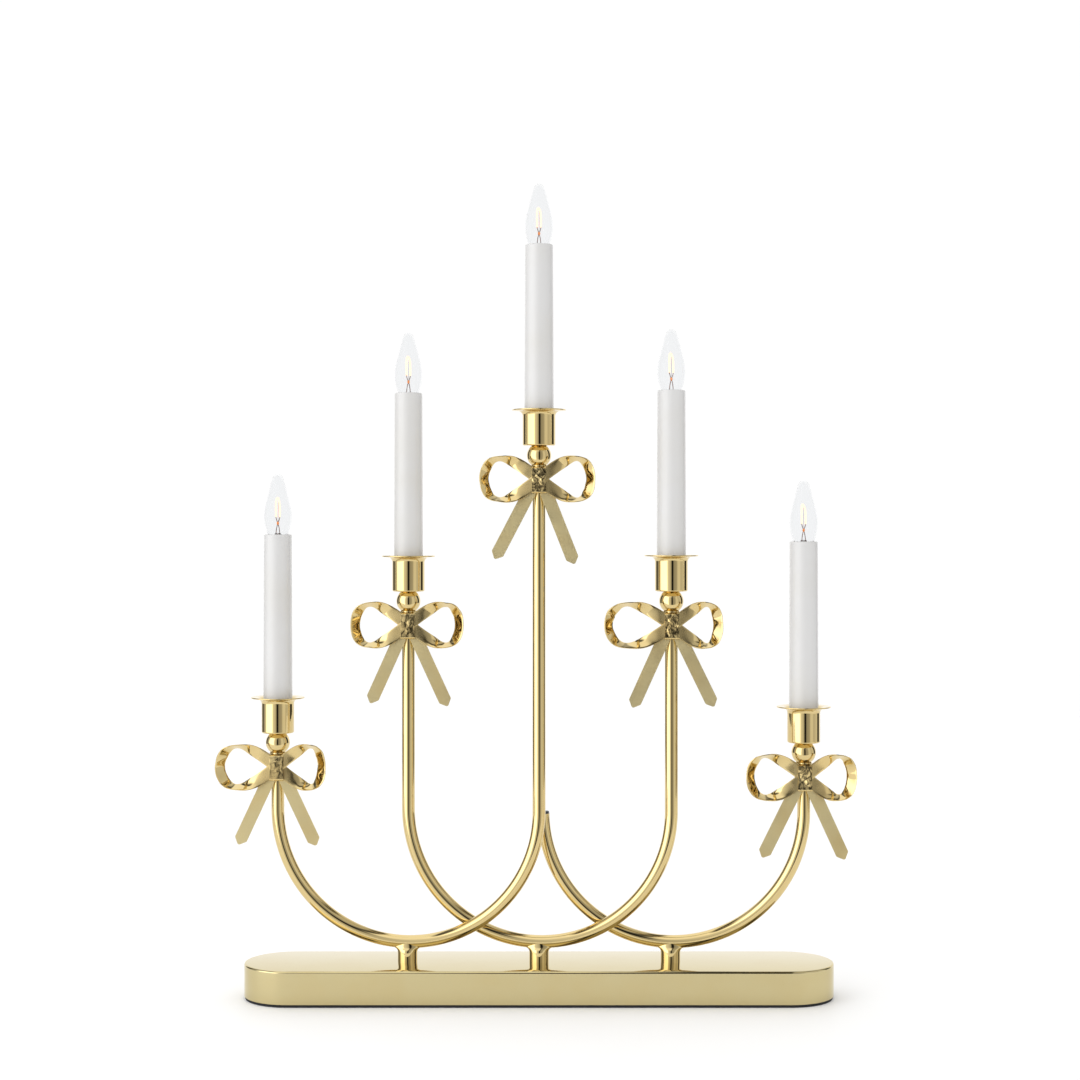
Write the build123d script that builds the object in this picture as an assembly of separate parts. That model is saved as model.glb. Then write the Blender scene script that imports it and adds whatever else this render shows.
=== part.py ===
from build123d import *
from math import asin, cos, degrees, pi, radians, sin
import os

# Five-arm electric candlestick: three interlaced U-shaped tubes on a weighted stadium base.
# Millimetres, +Z up, +X to the right, front towards -Y. The origin is the middle of the
# base's underside, on the table.

# Base
BASE_LENGTH = 365.0
BASE_DEPTH = 60.0
BASE_HEIGHT = 22.0  # table to the top of the cover, pad included
BASE_EDGE_RADIUS = 1.2
COVER_WALL = 1.0
PAD_THICKNESS = 1.7
PAD_INSET = 0.6
PLATE_THICKNESS = 3.0
PLATE_CLEARANCE = 0.3
SCREW_SPACING = (75.0, 294.0)  # inner pair and outer pair of plate screws
SCREW_DIAMETER = 3.0
SCREW_HEAD_DIAMETER = 5.6
SCREW_HEAD_HEIGHT = 1.6
SCREW_GRIP = 6.0  # thread inside the stud
STUD_DIAMETER = 7.0
FIT_CLEARANCE = 0.1  # radial play of everything that passes through a hole

# Cord inlet in the rear wall
GLAND_X = 60.0
GLAND_BORE = 5.4
GLAND_NECK = 8.4
GLAND_FLANGE = 11.4
GLAND_OUTER_FLANGE = 1.6
GLAND_INNER_FLANGE = 1.4

# Posts that carry the arms
POST_PITCH = 81.5
POST_DIAMETER = 12.0
POST_BORE = 7.0
POST_FLARE = 1.6  # the brazed fillet under the arm
TAIL_DIAMETER = 9.8
NUT_FLATS = 14.0
NUT_THICKNESS = 3.0
TAIL_PROUD = 1.2  # thread showing below the nut

# Arms
TUBE_DIAMETER = 8.0
TUBE_WALL = 0.8
ARM_GAP = 0.3  # daylight where two arms cross
ARM_BOTTOM = 34.2  # height of the lowest tube centreline
BRAZE_OVERLAP = 1.2  # how far the post's saddle rises up the tube
WIRE_HOLE = 5.0
STUB_SHORT = 1.0  # how far the blind end stops below the level of its bend's centre
STUB_TIGHTER = 2.6  # how much smaller the bend is on the blind side
PLUG_PROUD = 1.7
PLUG_DEPTH = 3.0

# Candle stacks, from the tube end upwards
COLLAR_DIAMETER = 10.2
COLLAR_HEIGHT = 1.2
BALL_DIAMETER = 15.0
BALL_HEIGHT = 12.0
CUP_DIAMETER = 20.2
CUP_HEIGHT = 22.4
CUP_RIM_DIAMETER = 32.8
CUP_WALL = 0.8
CUP_FLARE = 3.0
CUP_RIM_RISE = 0.4
CUP_FOOT_RADIUS = 1.0
CUP_NUT_FLATS = 9.0
CUP_NUT_THICKNESS = 2.5
SLEEVE_ABOVE_RIM = 101.4
SLEEVE_FOOT_DIAMETER = 18.2
SLEEVE_TOP_DIAMETER = 17.3
SLEEVE_BORE = 14.8
SLEEVE_LIP_RADIUS = 0.7
STEM_DIAMETER = 6.2
STEM_BORE = 4.2
STEM_IN_TUBE = 10.0
HOLDER_DIAMETER = 14.2
HOLDER_LENGTH = 26.0
HOLDER_BELOW_LIP = 3.5
HOLDER_SOCKET = 6.0  # depth of the stem's seat
CONTACT_DIAMETER = 6.0
CONTACT_THICKNESS = 0.8

# Small screw-cap lamp, measured from the sleeve's lip
CAP_DIAMETER = 9.5
CAP_LENGTH = 10.0
CAP_WALL = 0.4
CAP_TOP = -2.5
LAMP_TRAVEL_PLAY = 0.15
TIP_DIAMETER = 4.4
TIP_LENGTH = 1.7
GLASS_WALL = 0.6
GLASS_NECK_RADIUS = 4.2
GLASS_IN_CAP = 4.0
BULB_PROFILE = [(6.4, 0.0), (7.2, 3.1), (8.6, 10.5), (7.9, 18.0), (5.9, 25.4), (3.9, 32.9)]
BULB_TIP = 37.6
BEAD_HEIGHT = 7.2
BEAD_DIAMETER = 2.4
LEAD_DIAMETER = 0.5
FILAMENT_DIAMETER = 0.5
FILAMENT_HEIGHT = 12.5
FILAMENT_SPREAD = 3.0

# Ribbon bows
RIBBON_WIDTH = 7.6
RIBBON_THICKNESS = 0.5
LOOP_RISE = 12.6
LAYER_GAP = 0.25
STRAND_OFFSET = 0.45  # each strand's distance from the bow's middle plane at the crossing
RIBBON_STEPS = 56  # flats along the strip
RIBBON_END_GAP = 0.8  # between the strip's two ends, under the knot
FLARE_ENDS = 46.0  # tilt of the ribbon at the outer end of a loop, degrees
FLARE_TOPS = 68.0  # tilt at the top and bottom of a loop
CROSSING_DROP = 6.6  # crossing below the tube end
KNOT_WIDTH = 9.0
KNOT_TAB_WIDTH = 5.0  # tab and foot, narrower than the face
KNOT_THICKNESS = 0.8
KNOT_BELOW = 8.7  # knot's lower end below the crossing
TAIL_WIDTH = 7.9
TAIL_THICKNESS = 0.8
TAIL_APEX = 3.0  # where the tails' centrelines meet, above the crossing
TAIL_POINT = 4.1
TAIL_CORNER = 1.3

# Wiring inside the arms and the base
WIRE_DIAMETER = 2.6
WIRE_LANE = 16.0  # distance of the wires' run behind the posts
WIRE_BEND = 4.0
WIRE_START = 80.0  # degrees along the third arm's bend, just short of its post
BLOCK_SIZE = (26.0, 12.0, 11.0)

# Each candle: arm (post number, side), rim height, loop reach left and right,
# tail angle left and right, tail reach left and right below the crossing.
CANDLES = {
    "outer_left": (-1, -1, 185.2, (37.8, 30.6), (25.0, 25.2), (48.8, 49.4)),
    "inner_left": (0, -1, 273.4, (35.4, 34.6), (24.3, 24.7), (49.2, 51.0)),
    "centre": (-1, 1, 363.6, (36.3, 34.3), (27.6, 21.6), (49.4, 52.5)),
    "inner_right": (0, 1, 274.0, (41.6, 31.0), (24.3, 26.0), (51.0, 50.4)),
    "outer_right": (1, 1, 180.9, (36.2, 31.4), (26.4, 24.6), (49.9, 51.1)),
}
POSTS = {"left": -1, "centre": 0, "right": 1}

# Worked out from the sizes above
arm_turn = asin((TUBE_DIAMETER + ARM_GAP) / POST_PITCH)
arm_radius = POST_PITCH / cos(arm_turn)  # so that each leg stands in line with a post
leg_offset = arm_radius * sin(arm_turn)
bend_height = ARM_BOTTOM + arm_radius
blind_radius = arm_radius - STUB_TIGHTER
blind_reach = asin(STUB_SHORT / blind_radius)  # angle by which the third arm's bend is cut short
tube_bore = TUBE_DIAMETER - 2 * TUBE_WALL
stack_height = KNOT_THICKNESS + COLLAR_HEIGHT + BALL_HEIGHT + CUP_HEIGHT
cover_top = BASE_HEIGHT
cover_ceiling = BASE_HEIGHT - COVER_WALL
plate_top = PAD_THICKNESS + PLATE_THICKNESS
wire_level = (plate_top + cover_ceiling) / 2
stem_hole = STEM_DIAMETER + 2 * FIT_CLEARANCE
holder_drop = CAP_TOP - CAP_LENGTH - TIP_LENGTH  # lamp's tip below the sleeve's lip


def leg_x(name):
    """Where a candle's leg stands along the base."""
    post, side = CANDLES[name][0], CANDLES[name][1]
    return (post + side) * POST_PITCH


def leg_y(name):
    """How far a candle's leg leans out of the base's middle line: right legs come forward."""
    return -CANDLES[name][1] * leg_offset


def rim_z(name):
    return CANDLES[name][2]


def tube_end(name):
    return rim_z(name) - stack_height


def lip_z(name):
    return rim_z(name) + SLEEVE_ABOVE_RIM


def at(name, z, item):
    """Stand an item, drawn about the Z axis, on a candle's axis at height z."""
    return Pos(leg_x(name), leg_y(name), z) * item


def rod(diameter, height):
    """A round bar that stands on z = 0."""
    return Cylinder(diameter / 2, height, align=(Align.CENTER, Align.CENTER, Align.MIN))


def ring(outer, inner, height):
    return rod(outer, height) - rod(inner, height)


def stadium(inset, height):
    """A block with the base's round-ended outline, pulled in all round."""
    outline = SlotOverall(BASE_LENGTH - 2 * inset, BASE_DEPTH - 2 * inset)
    return extrude(outline, height)


def hexagon_nut(flats, thickness, bore):
    blank = extrude(RegularPolygon(flats / 2, 6, major_radius=False), thickness)
    return blank - rod(bore, thickness)


def group(items):
    """Separate solids of one node."""
    return Compound(children=[solid for item in items for solid in item.solids()])


# Base -----------------------------------------------------------------------------------

def screw_places():
    return [(side * spacing / 2, 0.0) for spacing in SCREW_SPACING for side in (-1, 1)]


def gland_z():
    return (plate_top + cover_ceiling) / 2 + 0.6


def rear_bore(diameter):
    """A bar through the rear wall on the cord inlet's axis."""
    bar = Rot(-90, 0, 0) * rod(diameter, 4 * GLAND_FLANGE)
    return Pos(GLAND_X, BASE_DEPTH / 2 - 2 * GLAND_FLANGE, gland_z()) * bar


def base_cover():
    skin = Pos(0, 0, PAD_THICKNESS) * stadium(0, BASE_HEIGHT - PAD_THICKNESS)
    top_edges = skin.edges().filter_by(lambda edge: edge.center().Z > BASE_HEIGHT - 0.01)
    skin = fillet(top_edges, BASE_EDGE_RADIUS)
    skin -= Pos(0, 0, PAD_THICKNESS) * stadium(COVER_WALL, cover_ceiling - PAD_THICKNESS)
    tail_hole = rod(TAIL_DIAMETER + 2 * FIT_CLEARANCE, COVER_WALL)
    for side in POSTS.values():
        skin -= Pos(side * POST_PITCH, 0, cover_ceiling) * tail_hole
    rear_wall = Pos(GLAND_X, BASE_DEPTH / 2, 0) * Box(40, 4 * COVER_WALL, 80)
    return skin - (rear_bore(GLAND_NECK + 2 * FIT_CLEARANCE) & rear_wall)


def base_plate():
    plate = Pos(0, 0, PAD_THICKNESS) * stadium(COVER_WALL + PLATE_CLEARANCE, PLATE_THICKNESS)
    for x, y in screw_places():
        plate -= Pos(x, y, PAD_THICKNESS) * rod(SCREW_DIAMETER + 2 * FIT_CLEARANCE, PLATE_THICKNESS)
        plate -= Pos(x, y, PAD_THICKNESS) * rod(SCREW_HEAD_DIAMETER + 2 * FIT_CLEARANCE, SCREW_HEAD_HEIGHT)
    return plate


def base_pad():
    return stadium(PAD_INSET, PAD_THICKNESS)


def base_screws():
    screws = []
    for x, y in screw_places():
        screw = rod(SCREW_HEAD_DIAMETER, SCREW_HEAD_HEIGHT)
        screw += rod(SCREW_DIAMETER, PLATE_THICKNESS + SCREW_GRIP)
        screws.append(Pos(x, y, PAD_THICKNESS) * screw)
    return group(screws)


def base_studs():
    height = cover_ceiling - plate_top
    stud = rod(STUD_DIAMETER, height) - rod(SCREW_DIAMETER + 2 * FIT_CLEARANCE, SCREW_GRIP + 1)
    return group([Pos(x, y, plate_top) * stud for x, y in screw_places()])


def cord_gland():
    neck = COVER_WALL + 2 * FIT_CLEARANCE
    bush = rod(GLAND_FLANGE, GLAND_INNER_FLANGE)
    bush += Pos(0, 0, GLAND_INNER_FLANGE) * rod(GLAND_NECK, neck)
    outer = rod(GLAND_FLANGE, GLAND_OUTER_FLANGE)
    outer = chamfer(outer.edges().sort_by(Axis.Z)[-1], GLAND_OUTER_FLANGE / 3)
    bush += Pos(0, 0, GLAND_INNER_FLANGE + neck) * outer
    bush -= rod(GLAND_BORE, GLAND_INNER_FLANGE + neck + GLAND_OUTER_FLANGE)
    inner_face = BASE_DEPTH / 2 - COVER_WALL - FIT_CLEARANCE - GLAND_INNER_FLANGE
    return Pos(GLAND_X, inner_face, gland_z()) * (Rot(-90, 0, 0) * bush)


# Arms and posts ---------------------------------------------------------------------------

def arm_path(left_end, right_end):
    """Centreline of an arm in the XZ plane about its post, between two leg heights."""
    left = Line((-arm_radius, 0, left_end), (-arm_radius, 0, bend_height))
    bend = ThreePointArc((-arm_radius, 0, bend_height), (0, 0, ARM_BOTTOM), (arm_radius, 0, bend_height))
    right = Line((arm_radius, 0, bend_height), (arm_radius, 0, right_end))
    return Wire([left.edge(), bend.edge(), right.edge()])


def pipe(diameter, left_end, right_end):
    """A round bar along an arm's centreline."""
    section = Pos(-arm_radius, 0, left_end) * Circle(diameter / 2)
    return sweep(section, path=arm_path(left_end, right_end))


def on_post(side, item):
    """Turn an item about its post, so that its right leg comes forward of the next arm."""
    return Pos(side * POST_PITCH, 0, 0) * (Rot(0, 0, -degrees(arm_turn)) * item)


def arm_ends(side, level=tube_end):
    """Heights of an arm's left and right ends; the third arm has a blind left end."""
    ends = {CANDLES[name][1]: level(name) for name in CANDLES if CANDLES[name][0] == side}
    return ends.get(-1), ends.get(1)


def bend_point(side, radius, turn):
    """Point of an arm's bend, turn radians below the level of the bend's centre."""
    return (side * radius * cos(turn), 0, ARM_BOTTOM + radius - radius * sin(turn))


def bend_arc(side, radius, first, last):
    middle = bend_point(side, radius, (first + last) / 2)
    return ThreePointArc(bend_point(side, radius, first), middle, bend_point(side, radius, last))


def stub_pipe(diameter, reach, right_end):
    """A bar along the third arm from a blind end, reach radians past the left of its bend."""
    blind = bend_arc(-1, blind_radius, reach, pi / 2)
    bend = bend_arc(1, arm_radius, pi / 2, 0)
    right = Line((arm_radius, 0, bend_height), (arm_radius, 0, right_end))
    path = Wire([blind.edge(), bend.edge(), right.edge()])
    section = Plane(origin=path @ 0, z_dir=path % 0) * Circle(diameter / 2)
    return sweep(section, path=path)


def arm_bar(diameter, side):
    left, right = arm_ends(side)
    if left is None:
        return stub_pipe(diameter, blind_reach, right)
    return pipe(diameter, left, right)


def arm(side):
    tube = arm_bar(TUBE_DIAMETER, side) - arm_bar(tube_bore, side)
    tube -= Pos(0, 0, ARM_BOTTOM - TUBE_DIAMETER) * rod(WIRE_HOLE, TUBE_DIAMETER)
    return on_post(side, tube)


def stub_plug():
    """Domed plastic plug in the blind end of the right-hand arm."""
    body = Pos(0, 0, -PLUG_DEPTH) * rod(tube_bore - 2 * FIT_CLEARANCE, PLUG_DEPTH)
    cap = rod(TUBE_DIAMETER - 0.4, PLUG_PROUD)
    cap = fillet(cap.edges().sort_by(Axis.Z)[-1], 0.9)
    plug = Rot(0, -degrees(blind_reach), 0) * (body + cap)
    return on_post(POSTS["right"], Pos(*bend_point(-1, blind_radius, blind_reach)) * plug)


def post(side):
    """Turned post: threaded tail through the cover, saddle and brazed flare under the tube."""
    saddle_top = ARM_BOTTOM - TUBE_DIAMETER / 2 + BRAZE_OVERLAP
    radius = POST_DIAMETER / 2
    body = rod(POST_DIAMETER, saddle_top - cover_top)
    flare = Cone(radius, radius + POST_FLARE / 2, POST_FLARE, align=(Align.CENTER, Align.CENTER, Align.MIN))
    body += Pos(0, 0, saddle_top - cover_top - POST_FLARE) * flare
    tail_length = COVER_WALL + NUT_THICKNESS + TAIL_PROUD
    body += Pos(0, 0, -tail_length) * rod(TAIL_DIAMETER, tail_length)
    body -= Pos(0, 0, -tail_length) * rod(POST_BORE, tail_length + saddle_top)
    standing = Pos(0, 0, cover_top) * body
    return on_post(side, standing - saddle_bar())


def saddle_bar():
    """The stretch of tube that a post's saddle is cut to."""
    ends = bend_height - arm_radius / 2
    stretch = pipe(TUBE_DIAMETER, bend_height + 1, bend_height + 1)
    return stretch & Box(4 * POST_DIAMETER, 4 * POST_DIAMETER, 2 * ends)


def post_nuts():
    nut = hexagon_nut(NUT_FLATS, NUT_THICKNESS, TAIL_DIAMETER + 2 * FIT_CLEARANCE)
    seat = cover_ceiling - NUT_THICKNESS
    return group([Pos(side * POST_PITCH, 0, seat) * nut for side in POSTS.values()])


# Candle stacks ----------------------------------------------------------------------------

def collar():
    blank = ring(COLLAR_DIAMETER, stem_hole, COLLAR_HEIGHT)
    circles = blank.edges().filter_by(GeomType.CIRCLE)
    rims = circles.filter_by(lambda edge: edge.radius > stem_hole / 2 + 0.1)
    return fillet(rims, COLLAR_HEIGHT / 3)


def ball():
    body = Pos(0, 0, BALL_HEIGHT / 2) * Sphere(BALL_DIAMETER / 2)
    body &= rod(BALL_DIAMETER, BALL_HEIGHT)
    return body - rod(stem_hole, BALL_HEIGHT)


def cup():
    """Spun cup with a floor, a straight wall and a flange that turns out into a shallow tray."""
    wall = CUP_DIAMETER / 2
    inside = wall - CUP_WALL
    bend_z = CUP_HEIGHT - CUP_RIM_RISE - CUP_FLARE - CUP_WALL
    centre = (wall + CUP_FLARE, bend_z)
    rim = CUP_RIM_DIAMETER / 2
    under = (centre[0], bend_z + CUP_FLARE)
    over = (centre[0], under[1] + CUP_WALL)
    turn = sin(pi / 4)
    under_mid = (centre[0] - CUP_FLARE * turn, bend_z + CUP_FLARE * turn)
    over_mid = (centre[0] - (CUP_FLARE + CUP_WALL) * turn, bend_z + (CUP_FLARE + CUP_WALL) * turn)
    foot = CUP_FOOT_RADIUS
    foot_mid = (wall - foot + foot * turn, foot - foot * turn)
    rim_mid = (rim + CUP_WALL / 3, CUP_HEIGHT - CUP_WALL / 2)
    outline = [
        Line((stem_hole / 2, 0), (wall - foot, 0)),
        ThreePointArc((wall - foot, 0), foot_mid, (wall, foot)),
        Line((wall, foot), (wall, bend_z)),
        ThreePointArc((wall, bend_z), under_mid, under),
        Line(under, (rim, CUP_HEIGHT - CUP_WALL)),
        ThreePointArc((rim, CUP_HEIGHT - CUP_WALL), rim_mid, (rim, CUP_HEIGHT)),
        Line((rim, CUP_HEIGHT), over),
        ThreePointArc(over, over_mid, (inside, bend_z)),
        Line((inside, bend_z), (inside, CUP_WALL)),
        Line((inside, CUP_WALL), (stem_hole / 2, CUP_WALL)),
        Line((stem_hole / 2, CUP_WALL), (stem_hole / 2, 0)),
    ]
    profile = make_face(Wire([part.edge() for part in outline]))
    return revolve(Rot(90, 0, 0) * profile, Axis.Z)


def cup_nut():
    return hexagon_nut(CUP_NUT_FLATS, CUP_NUT_THICKNESS, stem_hole)


def sleeve():
    """Tapered candle tube that stands on the cup's floor."""
    height = SLEEVE_ABOVE_RIM + CUP_HEIGHT - CUP_WALL
    body = Cone(
        SLEEVE_FOOT_DIAMETER / 2, SLEEVE_TOP_DIAMETER / 2, height,
        align=(Align.CENTER, Align.CENTER, Align.MIN),
    )
    body -= rod(SLEEVE_BORE, height)
    lip = body.edges().filter_by(GeomType.CIRCLE).group_by(Axis.Z)[-1].sort_by(lambda edge: edge.radius)[-1]
    return fillet(lip, SLEEVE_LIP_RADIUS)


def stem_head(name):
    """Top of the stem, at the bottom of its seat in the lamp holder."""
    return lip_z(name) - HOLDER_BELOW_LIP - HOLDER_LENGTH + HOLDER_SOCKET


def stem(name):
    """Threaded pipe from inside the arm up to the lamp holder."""
    foot = tube_end(name) - STEM_IN_TUBE
    return at(name, foot, ring(STEM_DIAMETER, STEM_BORE, stem_head(name) - foot))


def holder(name):
    """Lamp holder: a cup for the screw cap above, a seat for the stem below."""
    top = lip_z(name) - HOLDER_BELOW_LIP
    cavity = -HOLDER_BELOW_LIP - holder_drop + LAMP_TRAVEL_PLAY + CONTACT_THICKNESS
    body = rod(HOLDER_DIAMETER, HOLDER_LENGTH)
    body -= Pos(0, 0, HOLDER_LENGTH - cavity) * rod(CAP_DIAMETER + 2 * FIT_CLEARANCE, cavity)
    body -= rod(STEM_DIAMETER + 2 * FIT_CLEARANCE, HOLDER_SOCKET)
    return at(name, top - HOLDER_LENGTH, body)


def holder_contact(name):
    level = lip_z(name) + holder_drop - LAMP_TRAVEL_PLAY - CONTACT_THICKNESS
    return at(name, level, rod(CONTACT_DIAMETER, CONTACT_THICKNESS))


# Lamps ------------------------------------------------------------------------------------

def bulb_curve(shrink):
    """Half outline of the bulb from its shoulder to its tip, pulled in by the glass's wall."""
    points = [(radius - shrink, height) for radius, height in BULB_PROFILE]
    tip = (0, BULB_TIP - shrink)
    return Spline(*points, tip, tangents=[(0.25, 1), (-1, 0)])


def bulb_glass(name):
    """Pointed lamp bulb, open where its neck is cemented into the cap."""
    outer = bulb_curve(0)
    inner = bulb_curve(GLASS_WALL)
    seat = CAP_TOP - GLASS_IN_CAP
    bore = GLASS_NECK_RADIUS - GLASS_WALL
    shoulder = BULB_PROFILE[0][0]
    outline = [
        outer,
        Line((0, BULB_TIP), (0, BULB_TIP - GLASS_WALL)),
        inner,
        Line((shoulder - GLASS_WALL, 0), (bore, CAP_TOP)),
        Line((bore, CAP_TOP), (bore, seat)),
        Line((bore, seat), (GLASS_NECK_RADIUS, seat)),
        Line((GLASS_NECK_RADIUS, seat), (GLASS_NECK_RADIUS, CAP_TOP)),
        Line((GLASS_NECK_RADIUS, CAP_TOP), (shoulder, 0)),
    ]
    profile = make_face(Wire([part.edge() for part in outline]))
    return at(name, lip_z(name), revolve(Rot(90, 0, 0) * profile, Axis.Z))


def bulb_cap(name):
    shell = rod(CAP_DIAMETER, CAP_LENGTH)
    shell -= Pos(0, 0, CAP_WALL) * rod(CAP_DIAMETER - 2 * CAP_WALL, CAP_LENGTH)
    shell -= rod(TIP_DIAMETER + 2 * FIT_CLEARANCE, CAP_WALL)
    return at(name, lip_z(name) + CAP_TOP - CAP_LENGTH, shell)


def bulb_contact(name):
    """Centre contact below the cap, on the lamp's axis."""
    tip = rod(TIP_DIAMETER, TIP_LENGTH)
    tip = fillet(tip.edges().sort_by(Axis.Z)[0], TIP_LENGTH / 3)
    return at(name, lip_z(name) + holder_drop, Pos(0, 0, FIT_CLEARANCE / 2) * tip)


def bar_between(start, end, diameter):
    span = Vector(*end) - Vector(*start)
    return Plane(origin=start, z_dir=span) * rod(diameter, span.length)


def bulb_filament(name):
    """Stem press, two leads, the bead that ties them and the filament's standing coils."""
    seat = CAP_TOP - GLASS_IN_CAP
    fill = GLASS_NECK_RADIUS - GLASS_WALL - FIT_CLEARANCE
    press = Pos(0, 0, seat) * rod(2 * fill, GLASS_IN_CAP - 0.6)
    press += Pos(0, 0, CAP_TOP - 0.6) * Cone(
        fill, BEAD_DIAMETER / 2, 2.4, align=(Align.CENTER, Align.CENTER, Align.MIN)
    )
    bead = Pos(0, 0, BEAD_HEIGHT) * Sphere(BEAD_DIAMETER / 2)
    frame = press + bead
    foot = CAP_TOP + 1.0
    for side in (-1, 1):
        lead_foot = (side * BEAD_DIAMETER / 3, 0, foot)
        knee = (side * FILAMENT_SPREAD * 0.9, 0, BEAD_HEIGHT - 1.5)
        top = (side * FILAMENT_SPREAD, 0, BEAD_HEIGHT + FILAMENT_HEIGHT * 0.35)
        frame += bar_between(lead_foot, knee, LEAD_DIAMETER)
        frame += bar_between(knee, top, LEAD_DIAMETER) + Pos(*knee) * Sphere(LEAD_DIAMETER / 2)
        frame += bar_between((0, 0, BEAD_HEIGHT), knee, LEAD_DIAMETER)
        coil_top = (side * FILAMENT_SPREAD * 0.45, 0, BEAD_HEIGHT + FILAMENT_HEIGHT)
        frame += bar_between(top, coil_top, FILAMENT_DIAMETER) + Pos(*top) * Sphere(LEAD_DIAMETER / 2)
        frame += Pos(*coil_top) * Sphere(LEAD_DIAMETER / 2)
    left = (-FILAMENT_SPREAD * 0.45, 0, BEAD_HEIGHT + FILAMENT_HEIGHT)
    right = (FILAMENT_SPREAD * 0.45, 0, BEAD_HEIGHT + FILAMENT_HEIGHT)
    frame += bar_between(left, right, FILAMENT_DIAMETER)
    return at(name, lip_z(name), frame)


# Bows -------------------------------------------------------------------------------------

def bow_plane(name):
    """Centre of a bow: in front of the tube, clear of the tails' plate."""
    behind = TUBE_DIAMETER / 2 + 2 * LAYER_GAP + TAIL_THICKNESS
    forward = behind + STRAND_OFFSET + RIBBON_THICKNESS / 2
    return Pos(leg_x(name), leg_y(name) - forward, tube_end(name) - CROSSING_DROP)


def ribbon_tilt(turn):
    """Tilt of the ribbon's width towards the front: none at the crossing, most at the tops."""
    ends = radians(FLARE_ENDS)
    tops = radians(FLARE_TOPS)
    lean = ends * sin(turn) ** 4 + (tops - ends / 4) * sin(2 * turn) ** 4
    return lean if sin(turn) > 0 else -lean


def ribbon_section(turn, reach):
    """One cross-section of the figure-of-eight ribbon."""
    left, right = (r - RIBBON_WIDTH / 2 * cos(radians(FLARE_ENDS)) for r in reach)
    mean = (right + left) / 2
    lopsided = (right - left) / 2
    x = (mean + lopsided * sin(turn)) * sin(turn)
    place = Vector(x, -STRAND_OFFSET * cos(turn), LOOP_RISE * sin(2 * turn))
    along = Vector(
        (mean + 2 * lopsided * sin(turn)) * cos(turn),
        STRAND_OFFSET * sin(turn),
        2 * LOOP_RISE * cos(2 * turn),
    )
    front = Vector(0, -1, 0)
    side = front.cross(along).normalized()
    tilt = ribbon_tilt(turn)
    across = side * cos(tilt) + front * sin(tilt)
    return Plane(origin=place, x_dir=across, z_dir=along) * Rectangle(RIBBON_WIDTH, RIBBON_THICKNESS)


def ribbon(name):
    """Both loops of one bow as a single strip whose two ends meet under the knot."""
    start = asin(RIBBON_END_GAP / 2 / min(CANDLES[name][3]))
    step = 2 * (pi - start) / RIBBON_STEPS
    sections = [ribbon_section(start + step * count, CANDLES[name][3]) for count in range(RIBBON_STEPS + 1)]
    strip = Solid.make_loft([section.face().outer_wire() for section in sections], ruled=True)
    return bow_plane(name) * strip


def tail_plate(name):
    """The two pointed tails, cut from one sheet that runs up behind the ribbon."""
    angles, reaches = CANDLES[name][4], CANDLES[name][5]
    plate = None
    for side, angle, reach in zip((-1, 1), angles, reaches):
        length = (reach + TAIL_APEX) / cos(radians(angle))
        half = TAIL_WIDTH / 2
        outline = Polyline(
            (-half, 0), (half, 0), (half, TAIL_POINT - length), (0, -length),
            (-half, TAIL_POINT - length), close=True,
        )
        leg = make_face(outline)
        leg = fillet(leg.vertices().sort_by(Axis.Y)[0:3], TAIL_CORNER)
        leg = Rot(0, 0, side * angle) * leg
        plate = leg if plate is None else plate + leg
    plate += Pos(0, -TAIL_APEX) * Rectangle(KNOT_WIDTH, 2 * TAIL_APEX)
    sheet = extrude(Rot(90, 0, 0) * plate, TAIL_THICKNESS)
    back = leg_y(name) - TUBE_DIAMETER / 2 - LAYER_GAP
    return Pos(leg_x(name), back, tube_end(name) - CROSSING_DROP + TAIL_APEX) * sheet


def knot(name):
    """Band over the crossing: its top tab is clamped on the tube end, its foot folds back."""
    behind = TUBE_DIAMETER / 2 + 2 * LAYER_GAP + TAIL_THICKNESS
    depth = behind + 2 * STRAND_OFFSET + RIBBON_THICKNESS + LAYER_GAP
    height = CROSSING_DROP + KNOT_THICKNESS + KNOT_BELOW
    low = (Align.CENTER, Align.MAX, Align.MIN)
    face = Pos(0, -depth, -KNOT_BELOW) * Box(KNOT_WIDTH, KNOT_THICKNESS, height, align=low)
    front = face.edges().filter_by(Axis.X).group_by(Axis.Y)[0]
    face = fillet(front, KNOT_THICKNESS * 0.8)
    tab = Pos(0, 0, CROSSING_DROP) * Box(KNOT_TAB_WIDTH, depth, KNOT_THICKNESS, align=low)
    washer = Pos(0, 0, CROSSING_DROP) * rod(KNOT_WIDTH, KNOT_THICKNESS)
    fold = depth - behind
    foot = Pos(0, -behind, -KNOT_BELOW) * Box(KNOT_TAB_WIDTH, fold, KNOT_THICKNESS, align=low)
    band = face + tab + washer + foot
    band -= Pos(0, 0, CROSSING_DROP) * rod(stem_hole, KNOT_THICKNESS)
    return at(name, tube_end(name) - CROSSING_DROP, band)


# Wiring -----------------------------------------------------------------------------------

def arm_wire(side):
    """The run through one arm, up to its lamp holders; the third arm's starts beside its post."""
    left, right = arm_ends(side, stem_head)
    if left is None:
        return on_post(side, stub_pipe(WIRE_DIAMETER, radians(WIRE_START), right))
    return on_post(side, pipe(WIRE_DIAMETER, left, right))


def drop_wire(side):
    """From an arm, down its post, back to the lane behind it and along to the terminal block."""
    x = side * POST_PITCH
    half_block = BLOCK_SIZE[0] / 2
    points = [(x, 0, ARM_BOTTOM), (x, 0, wire_level), (x, WIRE_LANE, wire_level)]
    if side:
        points.append((side * half_block, WIRE_LANE, wire_level))
        return round_wire(points)
    points[-1] = (x, WIRE_LANE - BLOCK_SIZE[1] / 2, wire_level)
    return round_wire(points)


def round_wire(points):
    path = FilletPolyline(*points, radius=WIRE_BEND)
    section = Plane(origin=path @ 0, z_dir=path % 0) * Circle(WIRE_DIAMETER / 2)
    return sweep(section, path=path)


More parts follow.
